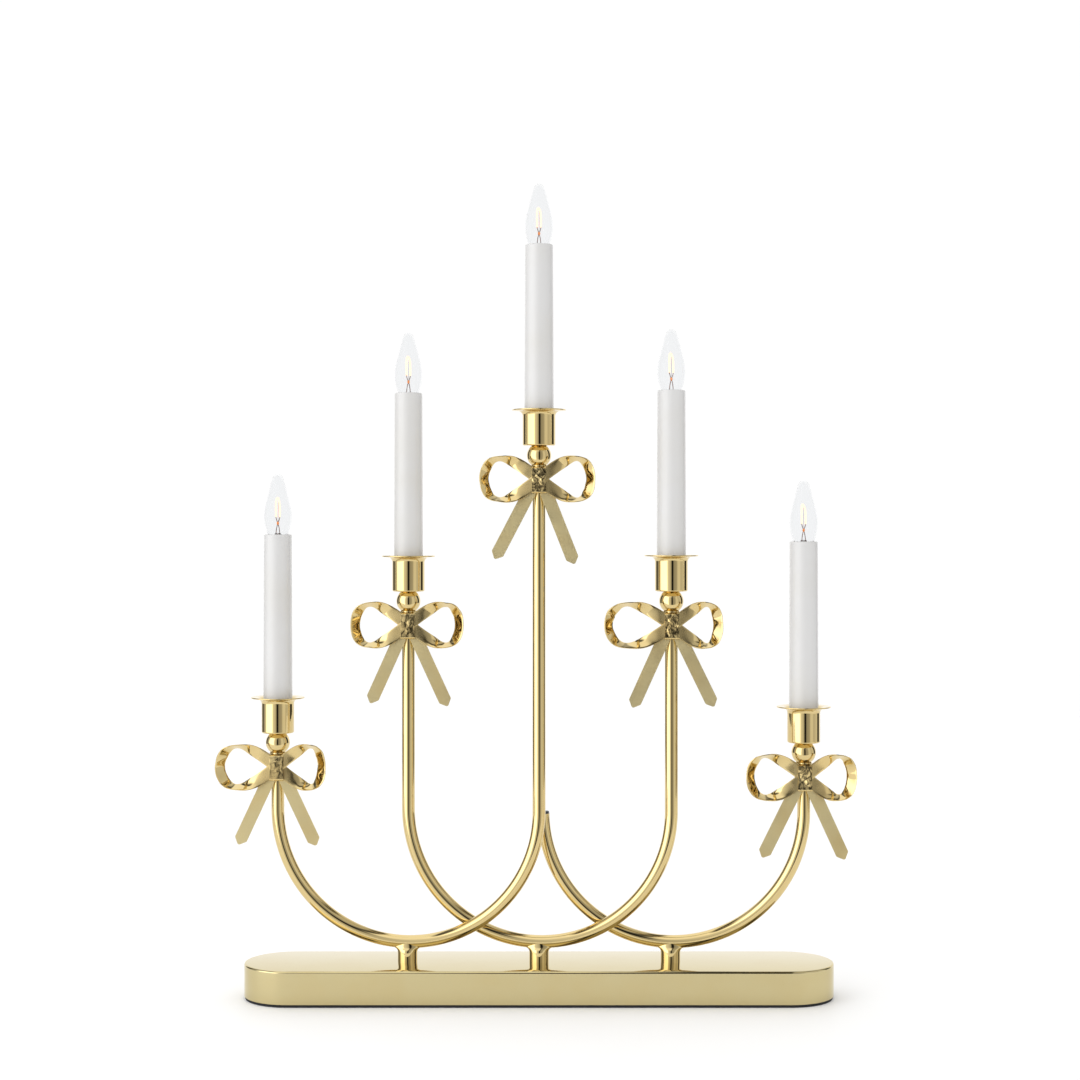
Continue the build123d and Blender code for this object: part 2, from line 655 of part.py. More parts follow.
def wiring():
    return group([arm_wire(side) + drop_wire(side) for side in POSTS.values()])


def terminal_block():
    block = Box(*BLOCK_SIZE, align=(Align.CENTER, Align.CENTER, Align.MIN))
    block = Pos(0, WIRE_LANE, plate_top) * block
    notch = Box(1.2, BLOCK_SIZE[1], 2.0, align=(Align.CENTER, Align.CENTER, Align.MAX))
    for x in (-BLOCK_SIZE[0] / 6, BLOCK_SIZE[0] / 6):
        block -= Pos(x, WIRE_LANE, plate_top + BLOCK_SIZE[2]) * notch
    return block


# Parts ------------------------------------------------------------------------------------

def shared_parts():
    stacks = {
        "arm_collars": [at(n, tube_end(n) + KNOT_THICKNESS, collar()) for n in CANDLES],
        "arm_balls": [at(n, rim_z(n) - CUP_HEIGHT - BALL_HEIGHT, ball()) for n in CANDLES],
        "candle_stems": [stem(n) for n in CANDLES],
        "cup_nuts": [at(n, rim_z(n) - CUP_HEIGHT + CUP_WALL, cup_nut()) for n in CANDLES],
        "lamp_holders": [holder(n) for n in CANDLES],
        "holder_contacts": [holder_contact(n) for n in CANDLES],
        "bow_tails": [tail_plate(n) for n in CANDLES],
        "bow_knots": [knot(n) for n in CANDLES],
    }
    parts = {node: group(items) for node, items in stacks.items()}
    parts["base_cover"] = base_cover()
    parts["base_plate"] = base_plate()
    parts["base_pad"] = base_pad()
    parts["base_screws"] = base_screws()
    parts["base_studs"] = base_studs()
    parts["cord_gland"] = cord_gland()
    parts["post_nuts"] = post_nuts()
    parts["stub_plug"] = stub_plug()
    parts["terminal_block"] = terminal_block()
    parts["wiring"] = wiring()
    for label, side in POSTS.items():
        parts["post_" + label] = post(side)
        parts["arm_" + label] = arm(side)
    return parts


def candle_parts(name):
    return {
        "cup_" + name: at(name, rim_z(name) - CUP_HEIGHT, cup()),
        "sleeve_" + name: at(name, rim_z(name) - CUP_HEIGHT + CUP_WALL, sleeve()),
        "ribbon_" + name: ribbon(name),
        "bulb_glass_" + name: bulb_glass(name),
        "bulb_cap_" + name: bulb_cap(name),
        "bulb_contact_" + name: bulb_contact(name),
        "bulb_filament_" + name: bulb_filament(name),
    }


def main():
    os.makedirs("parts", exist_ok=True)
    parts = shared_parts()
    for name in CANDLES:
        parts.update(candle_parts(name))
    for node, shape in parts.items():
        export_step(shape, "parts/" + node + ".step")


if __name__ == "__main__":
    main()
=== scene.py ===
from functools import lru_cache
from math import asin, atan2, cos, pi, radians, sin

import bpy
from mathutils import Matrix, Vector, noise


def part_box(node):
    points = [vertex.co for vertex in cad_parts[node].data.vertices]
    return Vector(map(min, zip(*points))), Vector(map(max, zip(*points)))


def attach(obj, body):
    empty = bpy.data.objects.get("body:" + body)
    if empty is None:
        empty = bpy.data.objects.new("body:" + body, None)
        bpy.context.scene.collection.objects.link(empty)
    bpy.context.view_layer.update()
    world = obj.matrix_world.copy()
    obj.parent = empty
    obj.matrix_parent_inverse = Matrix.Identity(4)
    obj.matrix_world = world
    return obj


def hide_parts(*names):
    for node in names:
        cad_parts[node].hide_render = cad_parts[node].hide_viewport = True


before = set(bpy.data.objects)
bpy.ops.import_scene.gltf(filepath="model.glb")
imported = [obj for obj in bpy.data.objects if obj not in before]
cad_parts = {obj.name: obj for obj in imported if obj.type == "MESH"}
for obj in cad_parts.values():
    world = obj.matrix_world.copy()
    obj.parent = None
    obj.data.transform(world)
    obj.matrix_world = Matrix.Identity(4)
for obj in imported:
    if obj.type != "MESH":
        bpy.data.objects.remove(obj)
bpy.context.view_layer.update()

bl_info = {
    "name": "Electric Candelabra Builder",
    "version": (1, 0, 0),
    "blender": (4, 5, 0),
    "location": "View3D > Sidebar > Candelabra",
    "description": "Models a five-arm brass electric candelabra around its packed frame",
    "category": "Add Mesh",
}

once = lru_cache(maxsize=None)  # works a thing out the first time and hands out the same one afterwards

CANDLES = ("outer_left", "inner_left", "centre", "inner_right", "outer_right")
MM = 0.001
FRONT = Vector((0, -1, 0))
STEM_HOLE = 3.2 * MM  # radius of the holes in balls, collars and cups
CAP_TOP = -2.5 * MM  # top of a lamp's cap, from its sleeve's lip
GLASS_FOOT = -6.5 * MM  # foot of a lamp's glass, inside its cap
FINE_RELIEF = 0.0001

# Loop reaches (left, right) of each hand-bent bow, in millimetres
BOW_REACH = {
    "outer_left": (37.8, 30.6),
    "inner_left": (35.4, 34.6),
    "centre": (36.3, 34.3),
    "inner_right": (41.6, 31.0),
    "outer_right": (36.2, 31.4),
}


# ---- sizes and colours

def length(name, default, text):
    return bpy.props.FloatProperty(
        name=name, default=default * MM, description=text, unit="LENGTH", precision=5)


def colour(name, default, text):
    return bpy.props.FloatVectorProperty(
        name=name, default=default, description=text, subtype="COLOR", min=0, max=1)


class CandelabraSizes(bpy.types.PropertyGroup):
    base_edge: length("Base edge", 1.2, "Rounding of the cover's top edge")
    tube: length("Tube", 8.0, "Outer diameter of the arms")
    tube_wall: length("Tube wall", 0.8, "Wall of the arms")
    stub_tighter: length("Stub setback", 2.6, "How much smaller the third arm's bend is on its blind side")
    arm_bottom: length("Arm bottom", 34.2, "Height of the lowest tube centreline")
    post: length("Post", 12.0, "Diameter of the posts")
    collar: length("Collar", 10.2, "Diameter of the collars under the balls")
    collar_height: length("Collar height", 1.2, "Height of the collars")
    ball: length("Ball", 15.0, "Diameter of the balls")
    ball_height: length("Ball height", 12.0, "Height of the balls between their flats")
    cup: length("Cup", 20.2, "Diameter of the cups' straight wall")
    cup_wall: length("Cup wall", 0.8, "Thickness of the cups' sheet")
    cup_flare: length("Cup flare", 3.0, "Radius of the turn from wall to tray")
    sleeve_foot: length("Sleeve foot", 18.2, "Diameter at the foot of the candle sleeves")
    sleeve_top: length("Sleeve top", 17.3, "Diameter at the lip of the candle sleeves")
    sleeve_bore: length("Sleeve bore", 14.8, "Bore of the candle sleeves")
    lamp_cap: length("Lamp cap", 9.5, "Diameter of the lamps' screw caps")
    thread_pitch: length("Thread pitch", 1.81, "Pitch of the lamps' screw thread")
    glass_wall: length("Glass wall", 0.6, "Thickness of the lamps' glass")
    ribbon: length("Ribbon", 7.6, "Width of the bows' ribbon")
    ribbon_sheet: length("Ribbon sheet", 0.5, "Thickness of the ribbon")
    loop_rise: length("Loop rise", 12.6, "Half height of the bows' loops")
    knot: length("Knot", 9.0, "Width of the bows' knot band")
    knot_sheet: length("Knot sheet", 0.8, "Thickness of the knot band and the tails")


class CandelabraColours(bpy.types.PropertyGroup):
    brass: colour("Brass", (0.71, 0.56, 0.27), "Polished brass")
    pale_brass: colour("Pale brass", (0.61, 0.52, 0.285), "Polished brass of the base")
    satin: colour("Satin brass", (0.72, 0.61, 0.335), "Tails of the bows")
    sleeve: colour("Candle", (0.66, 0.655, 0.65), "Candle sleeves")
    black: colour("Black", (0.012, 0.013, 0.016), "Pad, plug and bushing")
    steel: colour("Steel", (0.55, 0.55, 0.56), "Nuts, screws and stems")
    nickel: colour("Nickel", (0.72, 0.68, 0.60), "Lamp caps")
    lead: colour("Leads", (0.22, 0.12, 0.10), "Oxidised leads inside the lamps")
    bead: colour("Bead", (0.80, 0.26, 0.07), "Glass bead that ties the lamps' leads")
    glow: colour("Glow", (1.0, 0.40, 0.16), "Lit filament")
    floor: colour("Floor", (0.97, 0.97, 0.97), "Floor")


def sizes():
    return bpy.context.scene.candelabra_sizes


def colours():
    return bpy.context.scene.candelabra_colours


# ---- places from the frame

@once
def box(node):
    """Corners of a CAD node, measured once."""
    low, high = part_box(node)
    return Vector(low), Vector(high)


def middle(node):
    low, high = box(node)
    return (low + high) / 2


def foot_of(node):
    centre = middle(node)
    return Vector((centre.x, centre.y, 0))


def candle_axis(name):
    """Foot of a candle's axis on the table."""
    return foot_of("sleeve_" + name)


def on_axis(name, height):
    return candle_axis(name) + Vector((0, 0, height))


def cup_foot(name):
    return box("cup_" + name)[0].z


def lip(name):
    return box("sleeve_" + name)[1].z


def ball_foot(name):
    return cup_foot(name) - sizes().ball_height


def tube_end(name):
    return ball_foot(name) - sizes().collar_height - sizes().knot_sheet


def crossing(name):
    """Middle of a bow's crossing, in the plane of its ribbon."""
    centre = middle("ribbon_" + name)
    return Vector((candle_axis(name).x, centre.y, centre.z))


# ---- modelling helpers

def start_clean():
    if bpy.context.object and bpy.context.object.mode != "OBJECT":
        bpy.ops.object.mode_set(mode="OBJECT")
    bpy.ops.object.select_all(action="DESELECT")


def pick(obj):
    start_clean()
    obj.select_set(True)
    bpy.context.view_layer.objects.active = obj


def edit(obj):
    """Open an object for modelling with everything in it selected."""
    pick(obj)
    bpy.ops.object.mode_set(mode="EDIT")
    bpy.ops.mesh.select_mode(type="VERT")
    bpy.ops.mesh.select_all(action="SELECT")


def leave_edit():
    bpy.ops.object.mode_set(mode="OBJECT")


def draw_out(step):
    """Extrude what is selected by a step."""
    bpy.ops.mesh.extrude_region_move(TRANSFORM_OT_translate={"value": step})


def smooth_shade(degrees):
    bpy.ops.object.shade_smooth_by_angle(angle=radians(degrees))


def name_it(obj, name):
    obj.name = name
    obj.data.name = name
    return obj


def close_up(obj, angle=40):
    """Merge doubles, turn the faces outwards and smooth all but the sharp edges."""
    edit(obj)
    bpy.ops.mesh.remove_doubles(threshold=2e-6)
    bpy.ops.mesh.delete_loose()
    bpy.ops.mesh.select_all(action="SELECT")
    bpy.ops.mesh.normals_make_consistent(inside=False)
    leave_edit()
    smooth_shade(angle)
    return obj


def select_edges(obj, test):
    """Select the edges whose lower and upper ends' heights pass a test; stays in edit mode."""
    edit(obj)
    bpy.ops.mesh.select_mode(type="EDGE")
    bpy.ops.mesh.select_all(action="DESELECT")
    leave_edit()
    for edge in obj.data.edges:
        edge.select = test(*sorted(obj.data.vertices[end].co.z for end in edge.vertices))
    bpy.ops.object.mode_set(mode="EDIT")


def modify(obj, kind, keep=False, **values):
    """Add a modifier with these values, and apply it unless it is to be kept."""
    pick(obj)
    modifier = obj.modifiers.new(kind.title(), kind)
    for key, value in values.items():
        setattr(modifier, key, value)
    if not keep:
        bpy.ops.object.modifier_apply(modifier=modifier.name)
    return obj


def soften(obj, width, degrees, keep=False):
    """Round the edges that are sharper than an angle."""
    values = {"width": width, "segments": 2, "limit_method": "ANGLE", "angle_limit": radians(degrees)}
    return modify(obj, "BEVEL", keep, **values)


def settle(obj, place=(0, 0, 0), turn=0.0):
    """Turn an object about Z, move it to its place and write both into its mesh."""
    pick(obj)
    obj.rotation_euler = (0, 0, turn)
    obj.location = place
    bpy.ops.object.transform_apply()
    return obj


def copies(master, prefix, height_of):
    """One copy of a master, with its own mesh, on each candle's axis; the master goes."""
    made = {}
    for name in CANDLES:
        twin = master.copy()
        twin.data = master.data.copy()
        bpy.context.collection.objects.link(twin)
        name_it(twin, prefix + name)
        settle(twin, on_axis(name, height_of(name)))
        made[name] = twin
    bpy.data.objects.remove(master)
    return made


def arc(centre, radius, start, end, steps):
    """Points (radius, height) of an arc, angles in degrees from the outward direction."""
    turns = [radians(start + (end - start) * step / steps) for step in range(steps + 1)]
    return [(centre[0] + radius * cos(turn), centre[1] + radius * sin(turn)) for turn in turns]


def chain(points):
    """A chain of edges through 3-D points, drawn by extruding one vertex."""
    start_clean()
    bpy.ops.mesh.primitive_plane_add(size=0.001, location=points[0])
    obj = bpy.context.object
    bpy.ops.object.transform_apply()
    edit(obj)
    bpy.ops.mesh.merge(type="CENTER")
    for here, there in zip(points, points[1:]):
        draw_out(tuple(b - a for a, b in zip(here, there)))
    leave_edit()
    return obj


def turned(name, profile, steps=96, angle=40, closed=True):
    """A turned piece: an outline of (radius, height) points spun about the Z axis."""
    points = [(radius, 0.0, height) for radius, height in profile]
    obj = chain(points + points[:1] if closed else points)
    edit(obj)
    bpy.ops.mesh.spin(steps=steps, angle=2 * pi, center=(0, 0, 0), axis=(0, 0, 1))
    leave_edit()
    return close_up(name_it(obj, name), angle)


def rings(name, levels, segments=72):
    """A piece built upwards from ellipses given as (height, half width, half depth)."""
    start_clean()
    height, wide, deep = levels[0]
    bpy.ops.mesh.primitive_circle_add(vertices=segments, radius=1, fill_type="NGON", location=(0, 0, height))
    obj = bpy.context.object
    obj.scale = (wide, deep, 1)
    bpy.ops.object.transform_apply()
    edit(obj)
    for below, above in zip(levels, levels[1:]):
        draw_out((0, 0, above[0] - below[0]))
        grow = (above[1] / below[1], above[2] / below[2], 1)
        bpy.ops.transform.resize(value=grow, center_override=(0, 0, above[0]))
    leave_edit()
    return close_up(name_it(obj, name))


def sheet_strip(name, rows, columns, place_of):
    """A grid whose points are put in place by a formula of its two run parameters, 0 to 1."""
    start_clean()
    bpy.ops.mesh.primitive_grid_add(x_subdivisions=rows, y_subdivisions=columns, size=1)
    obj = name_it(bpy.context.object, name)
    for vertex in obj.data.vertices:
        vertex.co = place_of(vertex.co.x + 0.5, vertex.co.y + 0.5)
    return obj


def wire(name, points, diameter, curved=True, sides=3):
    """A round wire through points, made a mesh with its ends closed."""
    start_clean()
    line = bpy.data.curves.new(name, "CURVE")
    line.dimensions = "3D"
    line.bevel_depth = diameter / 2
    line.bevel_resolution = sides
    line.use_fill_caps = True
    spline = line.splines.new("NURBS" if curved else "POLY")
    spline.points.add(len(points) - 1)
    for point, place in zip(spline.points, points):
        point.co = (*place, 1)
    if curved:
        spline.order_u = 3
        spline.use_endpoint_u = True
        spline.resolution_u = 8
    obj = bpy.data.objects.new(name, line)
    bpy.context.collection.objects.link(obj)
    pick(obj)
    bpy.ops.object.convert(target="MESH")
    return close_up(bpy.context.object)


def join(name, parts):
    start_clean()
    for part in parts:
        part.select_set(True)
    bpy.context.view_layer.objects.active = parts[0]
    bpy.ops.object.join()
    return name_it(bpy.context.object, name)


def finish_piece(obj, material, *nodes, slot=None, body="root"):
    """Give a piece its material and body, and hide the CAD nodes it stands for; its slot is not used."""
    obj.data.materials.clear()
    obj.data.materials.append(material)
    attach(obj, body)
    if nodes:
        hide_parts(*nodes)
    return obj


# ---- material building blocks

def fill(tree, made, inputs):
    """Give a node's inputs their values, or links from the outputs of other nodes."""
    for key, value in inputs.items():
        if isinstance(value, bpy.types.NodeSocket):
            tree.links.new(value, made.inputs[key])
        else:
            made.inputs[key].default_value = value
    return made


def node(tree, kind, inputs, **settings):
    made = tree.nodes.new("ShaderNode" + kind)
    for key, value in settings.items():
        setattr(made, key, value)
    return fill(tree, made, inputs)


def maths(tree, operation, *values):
    return node(tree, "Math", dict(enumerate(values)), operation=operation).outputs[0]


def spread(tree, value, start, end, low=0.0, high=1.0, **settings):
    """A value carried from one range, start to end, onto another, low to high."""
    ranges = {"Value": value, "From Min": start, "From Max": end, "To Min": low, "To Max": high}
    return node(tree, "MapRange", ranges, **settings).outputs["Result"]


def blend(tree, share, first, second):
    return node(tree, "Mix", {"Factor": share, "A": first, "B": second}, data_type="RGBA").outputs["Result"]


def object_place(tree):
    return node(tree, "TexCoord", {}).outputs["Object"]


def texture(tree, kind, scale, stretch=(1, 1, 1)):
    """A texture in Object coordinates, stretched along the axes."""
    place = node(tree, "Mapping", {"Scale": stretch, "Vector": object_place(tree)})
    return node(tree, "Tex" + kind, {"Scale": scale, "Vector": place.outputs["Vector"]})


def bump(tree, shader, height, strength, distance):
    bumps = node(tree, "Bump", {"Strength": strength, "Distance": distance, "Height": height})
    fill(tree, shader, {"Normal": bumps.outputs["Normal"]})


def new_group(name, **inputs):
    """A node group with these inputs; gives it, what comes in and its Object coordinates."""
    group = bpy.data.node_groups.new(name, "ShaderNodeTree")
    for label, value in inputs.items():
        kind = "Float" if isinstance(value, float) else {3: "Vector", 4: "Color"}[len(value)]
        made = group.interface.new_socket(name=label, in_out="INPUT", socket_type="NodeSocket" + kind)
        made.default_value = value
    return group, group.nodes.new("NodeGroupInput").outputs, object_place(group)


def end_group(group, **outputs):
    for label in outputs:
        kind = "NodeSocketColor" if label == "Color" else "NodeSocketFloat"
        group.interface.new_socket(name=label, in_out="OUTPUT", socket_type=kind)
    fill(group, group.nodes.new("NodeGroupOutput"), outputs)
    return group


@once
def handling_haze():
    """Handling haze: broad soft clouds and fine marks that raise the roughness a little."""
    group, given, place = new_group("handling_haze", Clouds=60.0, Marks=900.0, Low=0.04, High=0.12)
    clouds = node(group, "TexNoise", {"Vector": place, "Scale": given["Clouds"], "Detail": 3})
    marks = node(group, "TexNoise", {"Vector": place, "Scale": given["Marks"], "Detail": 4})
    both = maths(group, "MULTIPLY", clouds.outputs["Fac"], marks.outputs["Fac"])
    rough = spread(group, both, 0.15, 0.38, given["Low"], given["High"])
    return end_group(group, Roughness=rough, Height=marks.outputs["Fac"])


@once
def warm_patches():
    """Faint warm patches in a metal's colour."""
    group, given, place = new_group(
        "warm_patches", Metal=(0.8, 0.6, 0.3, 1), Warm=(0.7, 0.45, 0.16, 1), Size=45.0, Amount=0.25)
    patches = node(group, "TexNoise", {"Vector": place, "Scale": given["Size"], "Detail": 2})
    share = maths(group, "MULTIPLY", spread(group, patches.outputs["Fac"], 0.42, 0.72), given["Amount"])
    return end_group(group, Color=blend(group, share, given["Metal"], given["Warm"]))


@once
def straight_grain():
    """Fine grain along one direction, from noise squeezed across it."""
    group, given, place = new_group("straight_grain", Stretch=(1500.0, 1500.0, 40.0))
    squeeze = node(group, "VectorMath", {0: place, 1: given["Stretch"]}, operation="MULTIPLY")
    grain = node(group, "TexNoise", {"Vector": squeeze.outputs["Vector"], "Scale": 1.0, "Detail": 3})
    return end_group(group, Height=grain.outputs["Fac"])


@once
def beaten_dents():
    """Beaten dents and creases for hammered sheet."""
    group, given, place = new_group("beaten_dents", Size=520.0)
    spots = {"Vector": place, "Scale": given["Size"]}
    dents = node(group, "TexVoronoi", spots, feature="SMOOTH_F1")
    crease = node(group, "TexNoise", {**spots, "Detail": 1, "Distortion": 0.8})
    return end_group(group, Height=maths(group, "ADD", dents.outputs["Distance"], crease.outputs["Fac"]))


def effect(tree, group, **inputs):
    """A shared effect placed in a material."""
    return node(tree, "Group", inputs, node_tree=group)


def new_material(name, shown, inputs=None):
    """A material with its Principled shader; shown is its colour in a plain viewport."""
    material = bpy.data.materials.new(name)
    material.use_nodes = True
    material.diffuse_color = (*shown, 1)
    tree = material.node_tree
    return material, tree, fill(tree, tree.nodes["Principled BSDF"], inputs or {})


# ---- materials

def metal(name, shown, low, high, patches):
    """A metal with handling haze between two roughnesses and some share of warm patches."""
    material, tree, shader = new_material(name, shown, {"Metallic": 1.0})
    haze = effect(tree, handling_haze(), Low=low, High=high)
    warm = (shown[0] * 0.92, shown[1] * 0.78, shown[2] * 0.55, 1)
    tint = effect(tree, warm_patches(), Metal=(*shown, 1), Warm=warm, Amount=patches)
    fill(tree, shader, {"Roughness": haze.outputs["Roughness"], "Base Color": tint.outputs["Color"]})
    return material, tree, shader, haze


def plain_metal(name, shown, low, high, patches, relief):
    material, tree, shader, haze = metal(name, shown, low, high, patches)
    bump(tree, shader, haze.outputs["Height"], relief, FINE_RELIEF)
    return material


@once
def polished_brass():
    return plain_metal("polished_brass", colours().brass, 0.02, 0.06, 0.15, 0.015)


@once
def pale_brass():
    return plain_metal("pale_brass", colours().pale_brass, 0.02, 0.06, 0.15, 0.015)


@once
def ribbon_brass():
    """Polished strip that has stayed satin near the knot, by the ribbon's own attribute."""
    material, tree, shader, haze = metal("ribbon_brass", colours().brass, 0.03, 0.07, 0.30)
    near = node(tree, "Attribute", {}, attribute_name="near_knot")
    extra = maths(tree, "MULTIPLY", near.outputs["Fac"], 0.42)
    fill(tree, shader, {"Roughness": maths(tree, "ADD", haze.outputs["Roughness"], extra)})
    grain = effect(tree, straight_grain(), Stretch=(90.0, 90.0, 240.0))
    bump(tree, shader, grain.outputs["Height"], 0.01, 0.0004)
    return material


@once
def satin_brass():
    material, tree, shader, haze = metal("satin_brass", colours().satin, 0.42, 0.55, 0.35)
    grain = effect(tree, straight_grain(), Stretch=(2200.0, 2200.0, 160.0))
    bump(tree, shader, grain.outputs["Height"], 0.25, FINE_RELIEF)
    return material


@once
def hammered_brass():
    """Beaten sheet, with painted shade darkening its creases by the knot's own attribute."""
    material, tree, shader, haze = metal("hammered_brass", colours().brass, 0.14, 0.26, 0.4)
    dents = effect(tree, beaten_dents(), Size=260.0)
    bump(tree, shader, dents.outputs["Height"], 0.03, 0.0006)
    # Painted shade: the crease attribute mixes the colour towards near black in the folds
    crease = node(tree, "Attribute", {}, attribute_name="crease")
    share = maths(tree, "MULTIPLY", crease.outputs["Fac"], 0.95)
    clean = shader.inputs["Base Color"].links[0].from_socket
    fill(tree, shader, {"Base Color": blend(tree, share, clean, (0.020, 0.012, 0.005, 1))})
    return material


@once
def plated_steel():
    return plain_metal("plated_steel", colours().steel, 0.22, 0.38, 0.0, 0.10)


@once
def lamp_nickel():
    return plain_metal("lamp_nickel", colours().nickel, 0.14, 0.28, 0.2, 0.08)


@once
def lead_copper():
    material = plain_metal("lead_copper", colours().lead, 0.30, 0.45, 0.4, 0.08)
    fill(material.node_tree, material.node_tree.nodes["Principled BSDF"], {"Metallic": 0.6})
    return material


def plastic(name, shown, low, high, coat, marks):
    """A moulded plastic with faint warm patches and, where coat isn't 0, a glossy skin."""
    material, tree, shader = new_material(name, shown, {"Coat Weight": coat, "Coat Roughness": 0.12})
    haze = effect(tree, handling_haze(), Low=low, High=high, Marks=marks)
    warm = (shown[0] * 0.96, shown[1] * 0.945, shown[2] * 0.90, 1)
    tint = effect(tree, warm_patches(), Metal=(*shown, 1), Warm=warm, Size=30.0, Amount=0.6)
    fill(tree, shader, {"Roughness": haze.outputs["Roughness"], "Base Color": tint.outputs["Color"]})
    bump(tree, shader, haze.outputs["Height"], 0.05, FINE_RELIEF)
    return material


@once
def candle_plastic():
    return plastic("candle_plastic", colours().sleeve, 0.28, 0.42, 0.25, 700.0)


@once
def holder_plastic():
    return plastic("holder_plastic", (0.78, 0.77, 0.72), 0.4, 0.55, 0.0, 1500.0)


@once
def wire_plastic():
    return plastic("wire_plastic", (0.72, 0.72, 0.70), 0.35, 0.5, 0.0, 1200.0)


@once
def black_plastic():
    return plastic("black_plastic", (0.010, 0.014, 0.028), 0.12, 0.22, 0.4, 1200.0)


@once
def black_rubber():
    return plastic("black_rubber", colours().black, 0.55, 0.75, 0.0, 2600.0)


@once
def pad_foam():
    material, tree, shader = new_material("pad_foam", colours().black, {"Base Color": (*colours().black, 1)})
    cells = texture(tree, "Voronoi", 2400.0).outputs["Distance"]
    fill(tree, shader, {"Roughness": spread(tree, cells, 0, 1, 0.7, 0.95)})
    bump(tree, shader, cells, 0.5, 0.0003)
    return material


@once
def lamp_glass():
    material, tree, shader = new_material("lamp_glass", (0.95, 0.97, 0.97), {
        "Base Color": (0.935, 0.94, 0.945, 1), "Transmission Weight": 1.0, "Roughness": 0.0, "IOR": 1.12})
    bump(tree, shader, texture(tree, "Noise", 140.0, (1, 1, 0.3)).outputs["Fac"], 0.05, 0.0006)
    return material


@once
def bead_glass_painted_glow():
    shown = (*colours().bead, 1)
    material, tree, shader = new_material("bead_glass_painted_glow", colours().bead, {
        # Painted glow: the bead's own colour is also given as a faint emission, though it is no lamp
        "Base Color": shown, "Roughness": 0.12, "Emission Color": shown, "Emission Strength": 0.25})
    bump(tree, shader, texture(tree, "Noise", 900.0).outputs["Fac"], 0.2, 0.0002)
    return material


@once
def lit_filament():
    """A glowing coil, whiter where it faces the eye."""
    glow = (*colours().glow, 1)
    material, tree, shader = new_material("lit_filament", colours().glow, {
        "Base Color": glow, "Emission Strength": 1.25})
    facing = node(tree, "LayerWeight", {"Blend": 0.35}).outputs["Facing"]
    heat = texture(tree, "Noise", 500.0).outputs["Fac"]
    fill(tree, shader, {
        "Emission Color": blend(tree, facing, (1.0, 0.86, 0.66, 1), glow),
        "Roughness": spread(tree, heat, 0, 1, 0.35, 0.6)})
    return material


@once
def studio_floor():
    return new_material("studio_floor", colours().floor, {
        "Base Color": (*colours().floor, 1), "Roughness": 0.55, "Specular IOR Level": 0.2})[0]


# ---- base

def rounded_slab(name, node_name, foot, top, top_edge, foot_edge):
    """A round-ended block in a CAD node's outline, with its top and foot edges rounded."""
    low, high = box(node_name)
    size = (high.x - low.x, high.y - low.y, top - foot)
    start_clean()
    bpy.ops.mesh.primitive_cube_add(size=1, location=(0, 0, (foot + top) / 2))
    obj = name_it(bpy.context.object, name)
    obj.scale = size
    bpy.ops.object.transform_apply()
    select_edges(obj, lambda low, high: high - low > 1e-5)
    bpy.ops.mesh.bevel(offset=size[1] / 2 - 1e-6, segments=56, affect="EDGES", clamp_overlap=False)
    bpy.ops.mesh.select_all(action="SELECT")
    bpy.ops.mesh.remove_doubles(threshold=1e-5)
    leave_edit()
    for level, width in ((top, top_edge), (foot, foot_edge)):
        select_edges(obj, lambda low, high: abs(low - level) < 1e-6 and abs(high - level) < 1e-6)
        bpy.ops.mesh.bevel(offset=width, segments=6, affect="EDGES", clamp_overlap=False)
        leave_edit()
    return close_up(obj, 30)


class CANDELABRA_OT_base(bpy.types.Operator):
    """Model the base's cover and its foam pad"""
    bl_idname = "candelabra.base"
    bl_label = "Base"

    def execute(self, context):
        low, high = box("base_cover")
        cover = rounded_slab("cover_shell", "base_cover", low.z, high.z, sizes().base_edge, 0.0003)
        finish_piece(cover, pale_brass(), "base_cover", slot="polished_brass")
        low, high = box("base_pad")
        pad = rounded_slab("foam_pad", "base_pad", low.z, high.z, 0.0002, 0.0004)
        finish_piece(pad, pad_foam(), "base_pad", slot="pad")
        return {"FINISHED"}


# ---- arms and posts

# Candles on each arm's left and right leg; the third arm's left end is blind
ARMS = {
    "left": ("outer_left", "centre"),
    "centre": ("inner_left", "inner_right"),
    "right": (None, "outer_right"),
}


def post_axis(side):
    return foot_of("post_" + side)


def arm_turn(side):
    """Angle by which an arm's right leg stands forward of its post."""
    leg = candle_axis(ARMS[side][1]) - post_axis(side)
    return atan2(leg.y, leg.x)


def arm_radius(side):
    return (candle_axis(ARMS[side][1]) - post_axis(side)).length


def blind_radius():
    return arm_radius("right") - sizes().stub_tighter


def blind_reach():
    """Angle by which the third arm's bend stops short, from where its plug begins."""
    radius = blind_radius()
    return asin((sizes().arm_bottom + radius - box("stub_plug")[1].z + 1.7 * MM) / radius)


def first_ring(name, radius, height, skip):
    """The ring a tube starts from, swung down round its bend's centre by an angle."""
    start_clean()
    bpy.ops.mesh.primitive_circle_add(vertices=40, radius=sizes().tube / 2, location=(-radius, 0, height))
    obj = name_it(bpy.context.object, name)
    bpy.ops.object.transform_apply()
    for vertex in obj.data.vertices:
        x, z = vertex.co.x, vertex.co.z - height
        vertex.co.x = x * cos(skip) - z * sin(skip)
        vertex.co.z = x * sin(skip) + z * cos(skip) + height
    edit(obj)
    return obj


